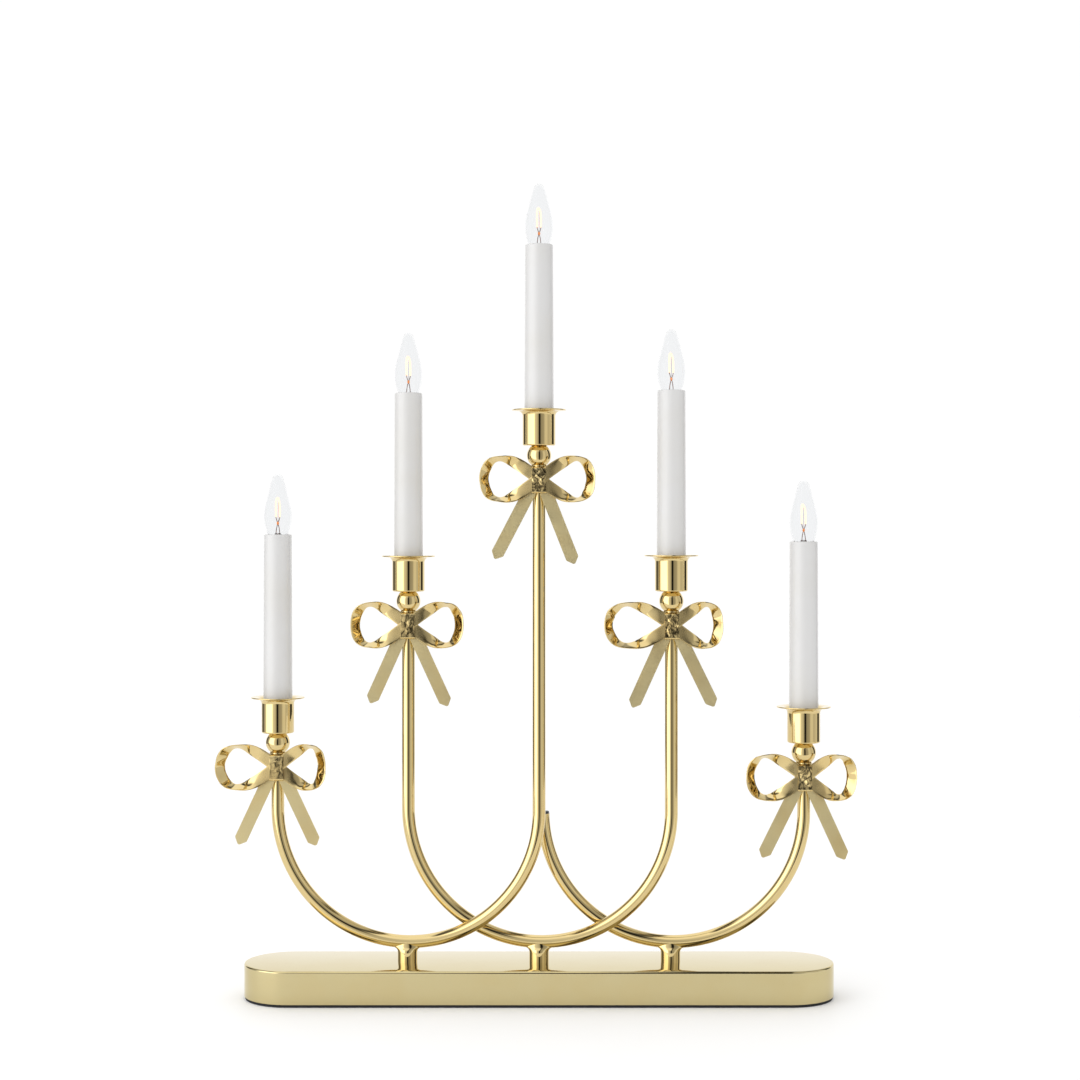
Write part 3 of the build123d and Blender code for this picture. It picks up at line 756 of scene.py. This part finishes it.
def arm_tube(side):
    """A round tube bent to a U: down one leg, round the bend in two quarters and up the other."""
    radius, bottom = arm_radius(side), sizes().arm_bottom
    first, second = ARMS[side]
    bend = bottom + radius
    if first:
        skip, left = 0.0, radius
        obj = first_ring("tube_" + side, left, tube_end(first), 0.0)
        draw_out((0, 0, bend - tube_end(first)))
    else:
        skip, left = blind_reach(), blind_radius()
        obj = first_ring("tube_" + side, left, bottom + left, skip)
    bpy.ops.mesh.spin(steps=60, angle=pi / 2 - skip, center=(0, 0, bottom + left), axis=(0, 1, 0))
    bpy.ops.mesh.spin(steps=60, angle=pi / 2, center=(0, 0, bend), axis=(0, 1, 0))
    draw_out((0, 0, tube_end(second) - bend))
    leave_edit()
    if min(vertex.co.z for vertex in obj.data.vertices) > bottom:
        raise RuntimeError("the arm's bend was spun the wrong way")
    modify(close_up(obj), "SOLIDIFY", thickness=sizes().tube_wall, offset=-1)
    smooth_shade(40)
    return settle(obj, post_axis(side), arm_turn(side))


def post(side):
    """A turned post whose top is drawn out along the tube and in at its sides by the braze."""
    foot = box("base_cover")[1].z
    centre = sizes().arm_bottom
    half = sizes().post / 2
    grip = sizes().tube / 2
    flow = [(6.4, 0, 0), (5.6, 0.10, -0.05), (4.9, 0.35, -0.25), (4.3, 0.80, -0.55), (3.8, 1.45, -0.90),
            (3.2, 2.40, -1.30)]
    hold = [(2.4, 2.60, 0.40), (1.2, 1.80, 0.12), (0.2, 0.40, -0.10)]
    levels = [(foot, half, half)]
    for steps, across in ((flow, half), (hold, grip)):
        levels += [(centre - drop * MM, half + out * MM, across + deep * MM) for drop, out, deep in steps]
    obj = rings("pillar_" + side, levels)
    return settle(obj, post_axis(side), arm_turn(side))


class CANDELABRA_OT_arms(bpy.types.Operator):
    """Bend the three arm tubes and plug the blind end"""
    bl_idname = "candelabra.arms"
    bl_label = "Arms"

    def execute(self, context):
        for side in ARMS:
            finish_piece(arm_tube(side), polished_brass(), "arm_" + side)
        half = sizes().tube / 2
        bore = half - sizes().tube_wall - 0.1 * MM
        dome = arc((half - 1.1 * MM, 0.8 * MM), 0.9 * MM, 0, 90, 8)
        outline = [(0, -3 * MM), (bore, -3 * MM), (bore, 0), (half - 0.2 * MM, 0), *dome, (0, 1.7 * MM)]
        plug = turned("end_plug", outline, 64, closed=False)
        centre = middle("stub_plug")
        settle(plug, (centre.x, centre.y, box("stub_plug")[1].z - 1.72 * MM))
        finish_piece(plug, black_plastic(), "stub_plug")
        return {"FINISHED"}


class CANDELABRA_OT_posts(bpy.types.Operator):
    """Turn the three posts and flow their tops onto the tubes"""
    bl_idname = "candelabra.posts"
    bl_label = "Posts"

    def execute(self, context):
        for side in ARMS:
            finish_piece(post(side), polished_brass(), "post_" + side)
        return {"FINISHED"}


# ---- candle stacks

class CANDELABRA_OT_balls(bpy.types.Operator):
    """Turn the balls and the collars below them"""
    bl_idname = "candelabra.balls"
    bl_label = "Balls and collars"

    def execute(self, context):
        s = sizes()
        cut = asin(s.ball_height / s.ball) * 180 / pi
        round_side = arc((0, s.ball_height / 2), s.ball / 2, -cut, cut, 40)
        master = turned("ball_master", [(STEM_HOLE, 0), *round_side, (STEM_HOLE, s.ball_height)])
        balls = copies(master, "ball_", ball_foot)
        half, tall = s.collar / 2, s.collar_height
        edge = tall / 3
        foot_edge = arc((half - edge, edge), edge, -90, 0, 6)
        top_edge = arc((half - edge, tall - edge), edge, 0, 90, 6)
        master = turned("collar_master", [(STEM_HOLE, 0), *foot_edge, *top_edge, (STEM_HOLE, tall)])
        collars = copies(master, "collar_", lambda name: ball_foot(name) - tall)
        for name in CANDLES:
            for pieces, node_name in ((balls, "arm_balls"), (collars, "arm_collars")):
                replaced = [node_name] if name == "centre" else []
                finish_piece(pieces[name], polished_brass(), *replaced)
        return {"FINISHED"}


def cup_outline():
    """Section of a spun cup: foot, wall, turned-out tray with a rolled edge, and the inside."""
    s = sizes()
    low, high = box("cup_centre")
    tall = high.z - low.z
    rim = (high.x - low.x) / 2
    wall, sheet, flare = s.cup / 2, s.cup_wall, s.cup_flare
    rise = 0.4 * MM
    bend = tall - rise - flare - sheet
    foot = arc((wall - 1 * MM, 1 * MM), 1 * MM, -90, 0, 8)
    under = arc((wall + flare, bend), flare, 180, 90, 14)
    lip_edge = arc((rim - sheet / 2, tall - sheet / 2), sheet / 2, -80, 90, 10)
    over = arc((wall + flare, bend), flare + sheet, 90, 180, 14)
    corner = arc((wall - sheet - 0.5 * MM, sheet + 0.5 * MM), 0.5 * MM, 0, -90, 5)
    return [(STEM_HOLE, 0), *foot, *under, *lip_edge, *over, *corner, (STEM_HOLE, sheet)]


class CANDELABRA_OT_cups(bpy.types.Operator):
    """Spin the five cups with their trays"""
    bl_idname = "candelabra.cups"
    bl_label = "Cups"

    def execute(self, context):
        master = turned("cup_master", cup_outline(), 128, 35)
        cups = copies(master, "tray_cup_", cup_foot)
        for name, cup in cups.items():
            finish_piece(cup, polished_brass(), "cup_" + name)
        return {"FINISHED"}


class CANDELABRA_OT_sleeves(bpy.types.Operator):
    """Mould the candle sleeves with their rounded lips"""
    bl_idname = "candelabra.sleeves"
    bl_label = "Candle sleeves"

    def execute(self, context):
        s = sizes()
        low, high = box("sleeve_centre")
        tall = high.z - low.z
        foot, top, bore = s.sleeve_foot / 2, s.sleeve_top / 2, s.sleeve_bore / 2
        outer = arc((top - 0.8 * MM, tall - 0.8 * MM), 0.8 * MM, 0, 90, 8)
        inner = arc((bore + 0.35 * MM, tall - 0.35 * MM), 0.35 * MM, 90, 180, 5)
        master = turned("sleeve_master", [(bore, 0), (foot, 0), *outer, *inner], 96)
        sleeves = copies(master, "candle_", lambda name: box("sleeve_" + name)[0].z)
        for name, sleeve in sleeves.items():
            finish_piece(sleeve, candle_plastic(), "sleeve_" + name)
        return {"FINISHED"}


# ---- lamps

def bulb_side(shrink):
    """Side of the bulb as (radius, height above the lip), from its shoulder to its blunt tip."""
    knots = [(6.3, -0.3), (7.15, 2.6), (8.15, 6.4), (8.6, 10.5), (8.45, 14.2), (7.75, 18.6), (6.75, 22.4),
             (5.75, 26.2), (4.75, 29.9), (3.95, 32.8), (3.25, 35.0), (2.35, 36.6), (1.25, 37.4)]
    sides = []
    for radius, height in knots:
        lower = shrink * 1.6 if height > 33 else 0
        sides.append(Vector(((radius - shrink) * MM, (height - lower) * MM)))
    return sides


def smooth(points, steps):
    """Points of a smooth curve through the given vectors."""
    made = []
    ends = [points[0], *points, points[-1]]
    for before, here, there, after in zip(ends, ends[1:], ends[2:], ends[3:]):
        for step in range(steps):
            t = step / steps
            made.append((before * (-t + 2 * t**2 - t**3) + here * (2 - 5 * t**2 + 3 * t**3)
                         + there * (t + 4 * t**2 - 3 * t**3) + after * (t**3 - t**2)) / 2)
    return made + [points[-1]]


def bulb_outline():
    """Section of a lamp's glass: up its outside from the neck to the tip and down its inside."""
    tip = 37.6 * MM
    wall = sizes().glass_wall
    outer = smooth(bulb_side(0), 4)
    inner = smooth(bulb_side(wall / MM), 4)
    neck = 4.2 * MM
    outside = [(neck, GLASS_FOOT), (neck, CAP_TOP), (5.2 * MM, -1.6 * MM), *outer, (0, tip)]
    inside = [(0, tip - 3.2 * wall), *reversed(inner), (4.7 * MM, -1.8 * MM), (neck - wall, CAP_TOP),
              (neck - wall, GLASS_FOOT)]
    return outside + inside


def helix(radius, rise, turns, steps, foot):
    """Points of a helix about the Z axis, rising from a height."""
    angles = [2 * pi * step / steps for step in range(turns * steps + 1)]
    return [(radius * cos(turn), radius * sin(turn), foot + rise * turn / (2 * pi)) for turn in angles]


def screw_cap():
    """Threaded shell of a lamp: a turned core wound with a rounded helical ridge."""
    s = sizes()
    core = s.lamp_cap / 2 - 0.55 * MM
    rim = arc((core + 0.25 * MM, -0.25 * MM), 0.25 * MM, -90, 90, 6)
    foot, bore, hole = -10 * MM, 3.7 * MM, 2.4 * MM
    sheet = 0.4 * MM
    outline = [(hole, foot), (core - 0.8 * MM, foot), (core, foot + 0.7 * MM), *rim, (bore, 0),
               (bore, foot + sheet), (hole, foot + sheet)]
    shell = turned("shell", outline, 64)
    thread = helix(core, s.thread_pitch, 4, 32, foot + 1.1 * MM)
    ridge = wire("ridge", thread, 1.05 * MM, curved=False)
    return settle(join("cap_master", [shell, ridge]), (0, 0, CAP_TOP))


def filament_path():
    """Line of the hairpin filament above the lip: up, over behind and down."""
    legs = [(-1.15, 0.0, 10.8), (-1.2, 0.0, 14.5), (-1.2, 0.1, 19.0), (-1.0, 0.8, 22.0), (-0.3, 1.4, 22.8),
            (0.5, 1.0, 21.4), (1.0, 0.2, 18.9), (1.2, 0.0, 14.5), (1.15, 0.0, 10.8)]
    return [Vector(place) * MM for place in legs]


def along(points, share):
    """Place and direction at a share of the way along a line of points."""
    spans = [(b - a).length for a, b in zip(points, points[1:])]
    left = share * sum(spans)
    for (a, b), span in zip(zip(points, points[1:]), spans):
        if left <= span or b is points[-1]:
            return a.lerp(b, min(left / span, 1.0)), (b - a).normalized()
        left -= span


def coiled_filament():
    """The coil itself: a fine helix wound along the hairpin."""
    path = smooth(filament_path(), 6)
    turns, steps, radius = 44, 12, 0.36 * MM
    points = []
    for count in range(turns * steps + 1):
        place, way = along(path, count / (turns * steps))
        side = way.cross(FRONT).normalized()
        lift = way.cross(side)
        turn = 2 * pi * count / steps
        points.append(place + (side * cos(turn) + lift * sin(turn)) * radius)
    return wire("filament_coil", points, 0.42 * MM, curved=False, sides=2)


def lamp_leads():
    """Two lead wires that cross at the bead and spread to hook the filament's feet."""
    parts = []
    for side in (-1, 1):
        route = [(0.9, 0.15, -5.5), (1.15, 0.15, -1.5), (1.05, 0.1, 2.5), (0.45, 0.05, 5.6),
                 (-0.25, 0, 7.4), (-0.75, 0, 9.0), (-1.15, 0, 10.2), (-1.2, 0, 11.2)]
        points = [Vector((side * x, side * y, z)) * MM for x, y, z in route]
        parts.append(wire("lead", points, 0.46 * MM))
    route = [(0, 0.3, 7.0), (0.1, 1.0, 12.0), (0.2, 1.5, 18.0), (0.2, 1.6, 22.8)]
    parts.append(wire("stay", [Vector(point) * MM for point in route], 0.16 * MM))
    return join("leads_master", parts)


def stem_press():
    """Pinched glass foot inside the neck that carries the leads."""
    levels = [(-6.3, 3.45, 3.45), (-4.2, 3.4, 3.4), (-2.9, 2.9, 2.6), (-1.6, 2.2, 1.4), (0.2, 2.0, 0.8),
              (0.9, 1.7, 0.5)]
    return rings("press_master", [tuple(value * MM for value in level) for level in levels], 40)


def bead():
    start_clean()
    bpy.ops.mesh.primitive_uv_sphere_add(
        segments=24, ring_count=16, radius=0.78 * MM, location=(0, 0, 6.9 * MM))
    obj = bpy.context.object
    obj.scale = (1, 1, 1.35)
    bpy.ops.object.transform_apply()
    return close_up(name_it(obj, "bead_master"))


class CANDELABRA_OT_lamps(bpy.types.Operator):
    """Blow the pointed lamps and fit their caps, leads, beads and filaments"""
    bl_idname = "candelabra.lamps"
    bl_label = "Lamps"

    def execute(self, context):
        glass = turned("glass_master", bulb_outline(), 80, 50)
        tip_round = arc((1.3 * MM, -13.2 * MM), 0.9 * MM, -90, 0, 6)
        cap_foot = -12.5 * MM
        outline = [(0, -14.1 * MM), *tip_round, (2.2 * MM, cap_foot), (0, cap_foot)]
        tip = turned("tip_master", outline, 40, closed=False)
        hole, edge, top = 2.25 * MM, 3.6 * MM, cap_foot + 0.3 * MM
        outline = [(hole, cap_foot - 0.4 * MM), (edge, cap_foot), (edge, top), (hole, top)]
        disc = turned("seal_master", outline, 40)
        kinds = [
            (glass, "lamp_bulb_", lamp_glass(), "lamp_glass", "bulb_glass_"),
            (screw_cap(), "lamp_cap_", lamp_nickel(), "lamp_metal", "bulb_cap_"),
            (disc, "lamp_seal_", black_plastic(), "black_plastic", None),
            (coiled_filament(), "lamp_coil_", lit_filament(), "filament", "bulb_filament_"),
            (lamp_leads(), "lamp_leads_", lead_copper(), "lamp_metal", None),
            (stem_press(), "lamp_press_", lamp_glass(), "lamp_glass", None),
            (bead(), "lamp_bead_", bead_glass_painted_glow(), "filament", None),
            (tip, "lamp_tip_", lamp_nickel(), "lamp_metal", "bulb_contact_"),
        ]
        for master, prefix, material, slot, stands_for in kinds:
            for name, piece in copies(master, prefix, lip).items():
                body = ("lamp_tip_" if prefix == "lamp_tip_" else "lamp_") + name
                nodes = [stands_for + name] if stands_for else []
                finish_piece(piece, material, *nodes, slot=slot, body=body)
        return {"FINISHED"}


# ---- bows

def ribbon_point(name, share, width_share):
    """A point of a bow's ribbon: a figure of eight whose front edge opens out towards the front."""
    s = sizes()
    turn = 2 * pi * share * 0.9965 + 0.011
    ends, tops = radians(46), radians(68)
    left, right = (reach * MM - s.ribbon / 2 * cos(ends) for reach in BOW_REACH[name])
    mean, lopsided = (right + left) / 2, (right - left) / 2
    reach = (mean + lopsided * sin(turn)) * sin(turn)
    place = Vector((reach, -0.45 * MM * cos(turn), s.loop_rise * sin(2 * turn)))
    way = Vector(((mean + 2 * lopsided * sin(turn)) * cos(turn), 0, 2 * s.loop_rise * cos(2 * turn)))
    side = FRONT.cross(way).normalized()
    lean = ends * sin(turn) ** 4 + (tops - ends / 4) * sin(2 * turn) ** 4 + radians(6) * cos(turn) ** 8
    across = side * cos(lean) + FRONT * (sin(lean) if sin(turn) > 0 else -sin(lean))
    face = across.cross(way.normalized())
    seed = CANDLES.index(name) * 7.3
    away = abs(sin(turn)) ** 0.5
    crease = abs(noise.noise(Vector((share * 15 + seed, width_share * 0.35, seed)))) * 0.6
    wave = (crease + noise.noise(Vector((share * 46, width_share * 0.6, seed))) * 0.15 - 0.15) * MM * away
    return crossing(name) + place + across * (width_share - 0.5) * s.ribbon + face * wave


def ribbon(name):
    obj = sheet_strip("bow_loops_" + name, 320, 7, lambda share, width: ribbon_point(name, share, width))
    near = obj.data.attributes.new("near_knot", "FLOAT", "POINT")
    centre = crossing(name)
    for vertex, value in zip(obj.data.vertices, near.data):
        value.value = max(0.0, 1 - abs(vertex.co.x - centre.x) / (15 * MM))
    modify(obj, "SOLIDIFY", thickness=sizes().ribbon_sheet, offset=0)
    soften(obj, 0.08 * MM, 50)
    smooth_shade(35)
    return obj


def knot_route(name):
    """Side view of a knot's band as (depth, height) from the tube's axis: tab, face and foot."""
    s = sizes()
    axis = candle_axis(name)
    front = axis.y - knot_depth()
    top = tube_end(name) + s.knot_sheet / 2
    foot = crossing(name).z - 8.7 * MM + s.knot_sheet / 2
    radius = 0.9 * MM
    y = front + s.knot_sheet / 2
    top_bend = arc((y + radius, top - radius), radius, 90, 180, 6)
    foot_bend = arc((y + radius, foot + radius), radius, 180, 270, 6)
    face = [(y, top - radius + (foot + 2 * radius - top) * step / 18) for step in range(1, 18)]
    back = crossing(name).y + 1.0 * MM
    return [(axis.y + 2.5 * MM, top), (axis.y - 1 * MM, top), *top_bend, *face, *foot_bend, (back, foot)]


def knot_depth():
    """How far the knots' front stands before the tubes' axes."""
    return candle_axis("inner_right").y - box("bow_knots")[0].y


def crumple(x, z, seed):
    """Height of crushed sheet and how deep in a crease a place lies, from a few warped folds; the depth also
    sets the knot's painted crease shade.
    """
    warp = noise.noise_vector(Vector((x * 0.3, z * 0.3, seed))) * 1.6
    height, depth = -0.55, 0.0
    for count in range(4):
        turn = seed * 2.4 + count * 1.9
        run = ((x + warp.x) * cos(turn) + (z + warp.y) * sin(turn)) * (0.13 + 0.05 * count)
        run += seed * (count + 1) * 0.37
        fold = abs(run - round(run))
        height += fold * (1.0 - 0.15 * count)
        depth = max(depth, 1 - (0.5 - fold) * (7 + 3 * count))
    return height, depth


KNOT_SEED = 4  # same crumples every time
BEATEN = {"outer_left": 0.35, "inner_left": 0.5, "centre": 1.0, "inner_right": 0.9, "outer_right": 1.0}


def knot(name):
    """The beaten band over a bow's crossing."""
    s = sizes()
    route = knot_route(name)
    seed = CANDLES.index(name) * 3.7 + 1.1
    middle_z = crossing(name).z
    axis = candle_axis(name)

    def place(share, across):
        along_way = share * (len(route) - 1)
        index = min(int(along_way), len(route) - 2)
        t = along_way - index
        y, z = (route[index][i] * (1 - t) + route[index + 1][i] * t for i in (0, 1))
        on_face = max(0.0, 1 - abs(z - middle_z) / (8.2 * MM)) ** 0.5
        waist = 1 - 0.07 * cos((z - middle_z) / (8.2 * MM) * pi / 2) if on_face > 0 else 0.8
        x = (across - 0.5) * s.knot * waist
        beat = crumple(x / MM, (z - middle_z) / MM, seed)[0]
        edge = 1 - (2 * across - 1) ** 4
        crown = 0.25 * MM * (1 - (2 * across - 1) ** 2) * on_face
        y -= crown - 0.1 * MM
        y += beat * BEATEN[name] * MM * on_face * (0.35 + 0.65 * edge)
        return Vector((axis.x + x, y, z))

    obj = sheet_strip("bow_knot_" + name, 150, 56, place)
    # Painted shade: how deep in a fold each point lies, scaled by how beaten the knot is, darkens the brass
    # there
    creases = obj.data.attributes.new("crease", "FLOAT", "POINT")
    for vertex, value in zip(obj.data.vertices, creases.data):
        height, depth = crumple((vertex.co.x - axis.x) / MM, (vertex.co.z - middle_z) / MM, seed)
        value.value = depth * BEATEN[name] if abs(vertex.co.z - middle_z) < 7.6 * MM else 0.0
    modify(obj, "SOLIDIFY", thickness=s.knot_sheet * 0.8, offset=0)
    soften(obj, 0.12 * MM, 75)
    smooth_shade(50)
    return obj


class CANDELABRA_OT_bows(bpy.types.Operator):
    """Bend the ribbons and beat the knots"""
    bl_idname = "candelabra.bows"
    bl_label = "Bows"

    def execute(self, context):
        noise.seed_set(KNOT_SEED)
        for name in CANDLES:
            finish_piece(ribbon(name), ribbon_brass(), "ribbon_" + name)
            replaced = ["bow_knots"] if name == "centre" else []
            finish_piece(knot(name), hammered_brass(), *replaced)
        return {"FINISHED"}


# ---- kept CAD pieces

def dress(node_name, material):
    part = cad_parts[node_name]
    part.data.materials.clear()
    part.data.materials.append(material)
    return part


class CANDELABRA_OT_fittings(bpy.types.Operator):
    """Give the tails, fasteners, holders and wiring their finishes"""
    bl_idname = "candelabra.fittings"
    bl_label = "Fittings"

    def execute(self, context):
        tails = dress("bow_tails", satin_brass())
        modify(tails, "WELD", keep=True, merge_threshold=1e-6)
        soften(tails, 0.12 * MM, 50, keep=True)
        for name in ("base_plate", "base_screws", "base_studs", "post_nuts", "cup_nuts", "candle_stems"):
            dress(name, plated_steel())
        dress("holder_contacts", lamp_nickel())
        dress("lamp_holders", holder_plastic())
        dress("terminal_block", holder_plastic())
        dress("wiring", wire_plastic())
        dress("cord_gland", black_rubber())
        return {"FINISHED"}


# ---- stage

STUDIO = [  # direction in degrees (0 in front, + to the right) and brightness of the studio's walls
    (-180, 1.15), (-141, 1.15), (-135, 0.08), (-116, 0.10), (-106, 0.50), (-92, 0.62), (-78, 2.40),
    (-36, 2.60), (-28, 1.05), (-5, 0.55), (-1, 0.015), (9, 0.015), (13, 0.38), (34, 0.50), (43, 0.88),
    (58, 0.90), (66, 0.66), (100, 0.85), (105, 0.03), (125, 0.04), (131, 1.15), (180, 1.15),
]


CEILING = [  # share to the right and brightness of what lies steeply above and below the object
    (-1, 0.9), (-0.62, 0.9), (-0.55, 0.06), (-0.44, 0.06), (-0.38, 1.25), (0.02, 1.25), (0.08, 0.10),
    (0.17, 0.12), (0.22, 0.60), (0.46, 0.70), (0.52, 0.05), (0.60, 0.06), (0.68, 0.9), (1, 0.9),
]

CEILING_FADE = (0.5, 0.85)  # upward share of a direction where the walls give way to the ceiling


def stops_ramp(tree, value, table, unit=1.0):
    """Colour ramp over a value, from a table of positions and brightnesses."""
    low, high = table[0][0], table[-1][0]
    ramp = node(tree, "ValToRGB", {"Fac": spread(tree, value, low * unit, high * unit)})
    stops = ramp.color_ramp.elements
    while len(stops) > 1:
        stops.remove(stops[-1])
    for count, (place, bright) in enumerate(table):
        share = (place - low) / (high - low)
        stop = stops[0] if count == 0 else stops.new(share)
        stop.position = share
        stop.color = (bright, bright, bright, 1)
    return ramp.outputs["Color"]


def studio_world():
    """White surroundings, which gloss sees as soft boxes with dark gaps between them."""
    world = bpy.data.worlds.new("studio")
    world.use_nodes = True
    tree = world.node_tree
    way = node(tree, "SeparateXYZ", {"Vector": node(tree, "TexCoord", {}).outputs["Generated"]}).outputs
    bearing = maths(tree, "ARCTAN2", way["X"], maths(tree, "MULTIPLY", way["Y"], -1.0))
    walls = stops_ramp(tree, bearing, STUDIO, pi / 180)
    ceiling = stops_ramp(tree, way["X"], CEILING)
    steep = maths(tree, "ABSOLUTE", way["Z"])
    overhead = spread(tree, steep, *CEILING_FADE, interpolation_type="SMOOTHSTEP")
    rays = node(tree, "LightPath", {}).outputs
    slope = maths(tree, "MULTIPLY_ADD", way["X"], -0.24, 1.08)
    matt = blend(tree, rays["Is Diffuse Ray"], (1.02, 1.02, 1.02, 1), slope)
    outside = maths(tree, "LESS_THAN", rays["Transmission Depth"], 0.5)
    gloss = maths(tree, "MULTIPLY", rays["Is Glossy Ray"], outside)
    seen = blend(tree, gloss, matt, blend(tree, overhead, walls, ceiling))
    fill(tree, tree.nodes["Background"], {"Color": seen, "Strength": 1.0})
    bpy.context.scene.world = world


def key_light():
    """A large soft light from the upper left, left out of reflections."""
    light = bpy.data.lights.new("key", "AREA")
    light.size = 0.9
    light.energy = 3
    obj = bpy.data.objects.new("key", light)
    obj.location = (-1.1, -1.0, 1.0)
    obj.rotation_euler = (Vector((0, 0, 0.25)) - obj.location).to_track_quat("-Z", "Y").to_euler()
    obj.visible_glossy = False
    bpy.context.collection.objects.link(obj)


def camera():
    data = bpy.data.cameras.new("view")
    data.lens = 67.2
    data.sensor_width = 36
    data.shift_x = 0.0009
    data.shift_y = -0.0125
    obj = bpy.data.objects.new("view", data)
    obj.location = (0, -1.25, 0.2915)
    obj.rotation_euler = (pi / 2, 0, 0)
    bpy.context.collection.objects.link(obj)
    bpy.context.scene.camera = obj


class CANDELABRA_OT_stage(bpy.types.Operator):
    """Set the pale floor, the soft studio light and the camera"""
    bl_idname = "candelabra.stage"
    bl_label = "Stage"

    def execute(self, context):
        start_clean()
        bpy.ops.mesh.primitive_plane_add(size=1)
        floor = name_it(bpy.context.object, "floor")
        floor.scale = (1.9, 2.25, 1)
        floor.location = (0, 0.775, 0)
        bpy.ops.object.transform_apply()
        floor.data.materials.append(studio_floor())
        studio_world()
        key_light()
        camera()
        context.scene.view_settings.view_transform = "Standard"
        return {"FINISHED"}


# ---- add-on

STEPS = ("base", "arms", "posts", "balls", "cups", "sleeves", "lamps", "bows", "fittings", "stage")


class CANDELABRA_PT_panel(bpy.types.Panel):
    """Sizes, colours and building steps of the candelabra"""
    bl_idname = "CANDELABRA_PT_panel"
    bl_label = "Candelabra"
    bl_space_type = "VIEW_3D"
    bl_region_type = "UI"
    bl_category = "Candelabra"

    def draw(self, context):
        for group in (sizes(), colours()):
            column = self.layout.box()
            for key in group.__annotations__:
                column.prop(group, key)
        for step in STEPS:
            self.layout.operator("candelabra." + step)


CLASSES = (
    CandelabraSizes, CandelabraColours, CANDELABRA_OT_base, CANDELABRA_OT_arms, CANDELABRA_OT_posts,
    CANDELABRA_OT_balls, CANDELABRA_OT_cups, CANDELABRA_OT_sleeves, CANDELABRA_OT_lamps, CANDELABRA_OT_bows,
    CANDELABRA_OT_fittings, CANDELABRA_OT_stage, CANDELABRA_PT_panel,
)


def register():
    for item in CLASSES:
        bpy.utils.register_class(item)
    bpy.types.Scene.candelabra_sizes = bpy.props.PointerProperty(type=CandelabraSizes)
    bpy.types.Scene.candelabra_colours = bpy.props.PointerProperty(type=CandelabraColours)


def unregister():
    del bpy.types.Scene.candelabra_colours
    del bpy.types.Scene.candelabra_sizes
    for item in reversed(CLASSES):
        bpy.utils.unregister_class(item)


def main():
    register()
    for step in STEPS:
        getattr(bpy.ops.candelabra, step)()


if __name__ == "__main__":
    main()
